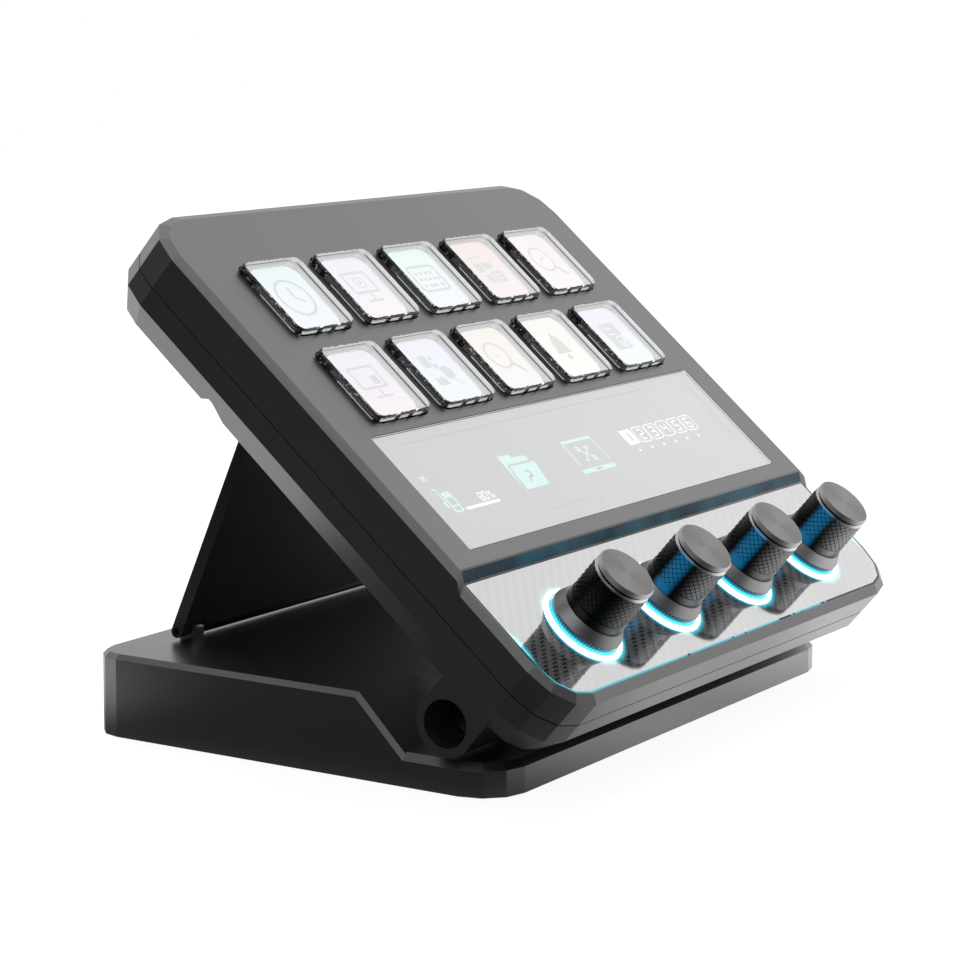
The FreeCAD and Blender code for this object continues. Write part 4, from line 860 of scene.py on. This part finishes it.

# Knobs: turned aluminium, anodised dark: a brushed cap over a groove, a knurled sleeve and a flared
# skirt on a ribbed foot. The ring round the foot is one low moulding that is lit from below the
# panel, so brightly that it looks white; its blue shows in what stands round it, partly by its own light and partly
# painted onto the panel, the skirt feet and the sleeves.
PANEL_DROP = 1.64
KNURL_LOW = 5.8
KNURL_HIGH = 12.7
KNURL_ROWS = 11
KNURL_COLUMNS = 28
SCALLOP = 0.09
EDGE_HIGHLIGHT_HEIGHTS = (12.60, 12.66)
CAP_RIM = 5.75
CAP_FOOT = 13.56
SKIRT_RIBS = 72
SKIRT_FOOT = (1.78, 1.86)
RING_GLOW = 5.0
RING_BLUE = (0.03, 0.40, 0.95)
RING_MIRROR = 3.0 * MM
DASH_STEP = math.radians(30)
DASH_START = 24.35
DASH_SHARE = 0.26


def make_knob_grid():
    """The angle round a knob's axis, in radians, the distance from it and the height over the panel."""
    tree, way_in, way_out = open_group("knob_grid", [("Axis Across", 0.0), ("Axis Along", 0.0)],
                                       ["Angle", "Far", "Height"])
    grid = put_group(tree, FACE_GRID)
    x = value(tree, "SUBTRACT", grid.outputs["Across"], way_in.outputs["Axis Across"])
    y = value(tree, "SUBTRACT", grid.outputs["Along"], way_in.outputs["Axis Along"])
    tree.links.new(value(tree, "ARCTAN2", y, x), way_out.inputs["Angle"])
    tree.links.new(hypotenuse(tree, x, y), way_out.inputs["Far"])
    tree.links.new(value(tree, "ADD", grid.outputs["Out"], PANEL_DROP), way_out.inputs["Height"])
    return tree


def make_knob_ways():
    """Outward points away from a knob's axis, and Bevel halfway between that and the way out of the face."""
    tree, way_in, way_out = open_group("knob_ways", [("Axis Across", 0.0), ("Axis Along", 0.0)],
                                       ["Outward", "Bevel"], "NodeSocketVector")
    grid = put_group(tree, FACE_GRID)
    parts = []
    for way, label in ((ACROSS, "Across"), (ALONG, "Along")):
        reach = value(tree, "SUBTRACT", grid.outputs[label], way_in.outputs["Axis " + label])
        parts.append(vector_math(tree, "MULTIPLY", reach, way))
    outward = vector_math(tree, "NORMALIZE", vector_math(tree, "ADD", *parts))
    bevel = vector_math(tree, "NORMALIZE", vector_math(tree, "ADD", outward, OUT))
    for label, source in (("Outward", outward), ("Bevel", bevel)):
        world = tree.nodes.new("ShaderNodeVectorTransform")
        world.convert_from = "OBJECT"
        world.convert_to = "WORLD"
        tree.links.new(source, world.inputs[0])
        tree.links.new(world.outputs[0], way_out.inputs[label])
    return tree


KNOB_GRID = make_knob_grid()
KNOB_WAYS = make_knob_ways()


def aim_bump(tree, bump, mask, first, second):
    """Lets the bump start from the second direction where the mask is 1, and else from the first."""
    mix = tree.nodes.new("ShaderNodeMix")
    mix.data_type = "VECTOR"
    for socket, given in ((mix.inputs[0], mask), (mix.inputs[4], first), (mix.inputs[5], second)):
        tree.links.new(given, socket)
    tree.links.new(mix.outputs[1], bump.inputs["Normal"])


def knurled_sleeve(number, u, v):
    """Dark anodised flats, painted lighter on the side that faces the front right, between crossed cuts painted
    near black as shade, and a painted highlight on the knurl's top edge.

    The ring of the knob to the left, if there is one, is painted on the sleeve as a soft blue stripe of light in
    its emission."""
    finish, tree, shader = new_finish("knurled_sleeve_%d" % number, Metallic=1.0,
                                      Emission_Strength=0.0 if number == 1 else 1.0)
    texture = put_group(tree, SPARK_TEXTURE, Grain_Size=0.06 * MM, Roughness=0.26, Wander=0.08)
    tree.links.new(texture.outputs["Roughness"], shader.inputs["Roughness"])
    grid = put_group(tree, KNOB_GRID, Axis_Across=u, Axis_Along=v)
    ways = put_group(tree, KNOB_WAYS, Axis_Across=u, Axis_Along=v)
    angle, height = grid.outputs["Angle"], grid.outputs["Height"]
    column = value(tree, "MULTIPLY", angle, KNURL_COLUMNS / math.pi)
    row = value(tree, "DIVIDE", value(tree, "SUBTRACT", height, KNURL_LOW), (KNURL_HIGH - KNURL_LOW) / KNURL_ROWS)
    cuts = value(tree, "MINIMUM", value(tree, "PINGPONG", value(tree, "ADD", column, row), 1.0),
                 value(tree, "PINGPONG", value(tree, "SUBTRACT", column, row), 1.0))
    plain = value(tree, "SUBTRACT", 1.0, within(tree, height, KNURL_LOW, KNURL_HIGH))
    flat = value(tree, "MAXIMUM", remap(tree, cuts, 0.08, 0.20), plain)
    wave = value(tree, "MULTIPLY", value(tree, "SINE", value(tree, "MULTIPLY", angle, KNURL_COLUMNS)), SCALLOP)
    # Painted highlight: the knurl's top edge is coloured bright, where its chamfer would catch the light.
    edge = remap(tree, value(tree, "ADD", height, wave), *EDGE_HIGHLIGHT_HEIGHTS)
    # Painted light: the flats are lighter on the side that faces the front right, and dark on the rear left.
    right = vector_math(tree, "DOT_PRODUCT", ways.outputs["Outward"], (0.64, -0.60, -0.48))
    painted_lit_metal = blend_color(tree, remap(tree, right, -0.35, 0.55, 0.0, 1.0, True),
                        (0.024, 0.024, 0.024), (0.20, 0.203, 0.206))
    # Painted shade: the cuts between the flats are coloured near black.
    black = blend_color(tree, flat, (0.003, 0.003, 0.003), painted_lit_metal)
    tree.links.new(blend_color(tree, edge, black, (0.50, 0.50, 0.50)), shader.inputs["Base Color"])
    bump = add_bump(tree, shader, flat, 0.5, 0.05 * MM)
    aim_bump(tree, bump, edge, ways.outputs["Outward"], ways.outputs["Bevel"])
    # Painted light: a blue stripe in the emission on the side facing the knob to the left, for its ring's glow.
    if number > 1:
        left = vector_math(tree, "DOT_PRODUCT", ways.outputs["Outward"], (-1, 0, 0))
        stripe = value(tree, "MULTIPLY", remap(tree, left, 0.92, 1.0, 0.0, 1.0, True),
                       remap(tree, flat, 0.0, 1.0, 0.15, 1.0))
        tree.links.new(blend_color(tree, stripe, (0, 0, 0), (0.004, 0.10, 0.22)), shader.inputs["Emission Color"])
    return finish


def brushed_cap(number, u, v):
    """Turned rings and a painted fourfold sheen on the disc, a rim painted paler as the highlight of its chamfer,
    and a groove under it painted near black as shade.
    """
    finish, tree, shader = new_finish("brushed_cap_%d" % number, Metallic=1.0)
    grid = put_group(tree, KNOB_GRID, Axis_Across=u, Axis_Along=v)
    ways = put_group(tree, KNOB_WAYS, Axis_Across=u, Axis_Along=v)
    lines = line_noise(tree, grid.outputs["Far"], 9.0, 3.0)
    # Painted sheen: a fourfold lighter and darker wedge round the disc, in its colour.
    wedge = value(tree, "SINE", value(tree, "ADD", value(tree, "MULTIPLY", grid.outputs["Angle"], 2.0), 0.7))
    sheen = value(tree, "ADD", value(tree, "MULTIPLY", wedge, 0.28), value(tree, "MULTIPLY", lines, 0.35))
    disc = blend_color(tree, remap(tree, sheen, -0.2, 0.6), (0.17, 0.17, 0.17), (0.25, 0.25, 0.25))
    # Painted highlight on the paler rim, and painted shade in the near-black groove.
    rim = value(tree, "GREATER_THAN", grid.outputs["Far"], CAP_RIM)
    groove = value(tree, "LESS_THAN", grid.outputs["Height"], CAP_FOOT)
    painted_lit_metal = blend_color(tree, rim, disc, (0.38, 0.38, 0.38))
    tree.links.new(blend_color(tree, groove, painted_lit_metal, (0.006, 0.006, 0.006)), shader.inputs["Base Color"])
    tree.links.new(remap(tree, lines, 0.3, 0.7, 0.26, 0.38), shader.inputs["Roughness"])
    bump = add_bump(tree, shader, lines, 0.12, 0.02 * MM)
    plain = tree.nodes.new("ShaderNodeNewGeometry").outputs["Normal"]
    aim_bump(tree, bump, rim, plain, ways.outputs["Bevel"])
    return finish


def ribbed_skirt(number, u, v):
    """Satin grey above; the low foot is finely ribbed and black, and carries the ring's blue light as painted
    emission.
    """
    finish, tree, shader = new_finish("ribbed_skirt_%d" % number, Metallic=1.0, Emission_Strength=1.0)
    grid = put_group(tree, KNOB_GRID, Axis_Across=u, Axis_Along=v)
    height = grid.outputs["Height"]
    foot = remap(tree, height, *SKIRT_FOOT, 1.0, 0.0)
    ribs = value(tree, "SINE", value(tree, "MULTIPLY", grid.outputs["Angle"], SKIRT_RIBS))
    tree.links.new(remap(tree, foot, 0.0, 1.0, 0.42, 0.30), shader.inputs["Roughness"])
    tree.links.new(blend_color(tree, foot, (0.30, 0.30, 0.302), (0.02, 0.021, 0.022)), shader.inputs["Base Color"])
    # Painted light: the ring's glow on the foot, cyan low down and deep blue higher up, brighter on the ribs.
    glow = blend_color(tree, remap(tree, height, 0.75, 1.25, 1.0, 0.0, True), (0.0, 0.16, 0.30), (0.05, 0.95, 1.2))
    low = value(tree, "MULTIPLY", remap(tree, height, 1.1, 1.95, 1.0, 0.06, True), foot)
    painted_ring_light = value(tree, "MULTIPLY", low, remap(tree, ribs, -1.0, 1.0, 0.5, 1.0))
    tree.links.new(blend_color(tree, painted_ring_light, (0, 0, 0), glow), shader.inputs["Emission Color"])
    add_bump(tree, shader, value(tree, "MULTIPLY", ribs, foot), 0.6, 0.12 * MM)
    return finish


def glowing_ring(number, u, v):
    """White-hot, with a short dark dash every thirty degrees where it meets the panel.

    The panel mirrors it white close by; things farther off catch only its blue."""
    finish, tree, shader = new_finish("glowing_ring_%d" % number, Base_Color=(0.2, 0.5, 0.6), Roughness=0.3,
                                      Emission_Strength=RING_GLOW)
    grid = put_group(tree, KNOB_GRID, Axis_Across=u, Axis_Along=v)
    inner = remap(tree, grid.outputs["Far"], 7.92, 8.10, 1.0, 0.0, True)
    glow = blend_color(tree, inner, (0.8, 0.97, 1.0), (0.02, 0.22, 0.27))
    steps = value(tree, "DIVIDE", grid.outputs["Angle"], DASH_STEP)
    turn = value(tree, "FRACT", value(tree, "ADD", steps, DASH_START))
    low = value(tree, "LESS_THAN", grid.outputs["Height"], 0.10)
    dash = value(tree, "MULTIPLY", value(tree, "LESS_THAN", turn, DASH_SHARE), low)
    seen = blend_color(tree, dash, glow, (0.0, 0.004, 0.006))
    path = tree.nodes.new("ShaderNodeLightPath")
    close = value(tree, "LESS_THAN", path.outputs["Ray Length"], RING_MIRROR)
    straight = value(tree, "MAXIMUM", path.outputs["Is Camera Ray"], close)
    tree.links.new(blend_color(tree, straight, RING_BLUE, seen), shader.inputs["Emission Color"])
    return finish


# How the ring's moulding goes round: distance from the axis and height over the panel.
RING_SHAPE = [(7.92, 0.0), (7.92, 0.30), (8.04, 0.42), (8.40, 0.44), (8.72, 0.34), (8.88, 0.18), (8.92, 0.0)]
RING_STEPS = 96


def moulded_ring(number, u, v):
    corners = []
    for step in range(RING_STEPS):
        angle = 2 * math.pi * step / RING_STEPS
        corners += [on_face(u + far * math.cos(angle), v + far * math.sin(angle), height - PANEL_DROP)
                    for far, height in RING_SHAPE]
    count = len(RING_SHAPE)
    sides = []
    for step in range(RING_STEPS):
        here, there = step * count, (step + 1) % RING_STEPS * count
        for i in range(count):
            j = (i + 1) % count
            sides.append((here + i, here + j, there + j, there + i))
    ring = make_piece("lit_ring_%d" % number, corners, sides, glowing_ring(number, u, v), "unit")
    for side in ring.data.polygons:
        side.use_smooth = True
    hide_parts("light_ring_%d" % number)


for number in range(1, 5):
    knob_u, knob_v, _ = from_face(middle("light_ring_%d" % number))
    dress(knurled_sleeve(number, knob_u, knob_v), "knob_sleeve_%d" % number)
    dress(brushed_cap(number, knob_u, knob_v), "knob_cap_%d" % number)
    dress(ribbed_skirt(number, knob_u, knob_v), "knob_skirt_%d" % number)
    moulded_ring(number, knob_u, knob_v)
    dress(bright_steel, "encoder_%d" % number, "encoder_shaft_%d" % number)
    dress(soft_rubber, "encoder_plunger_%d" % number)
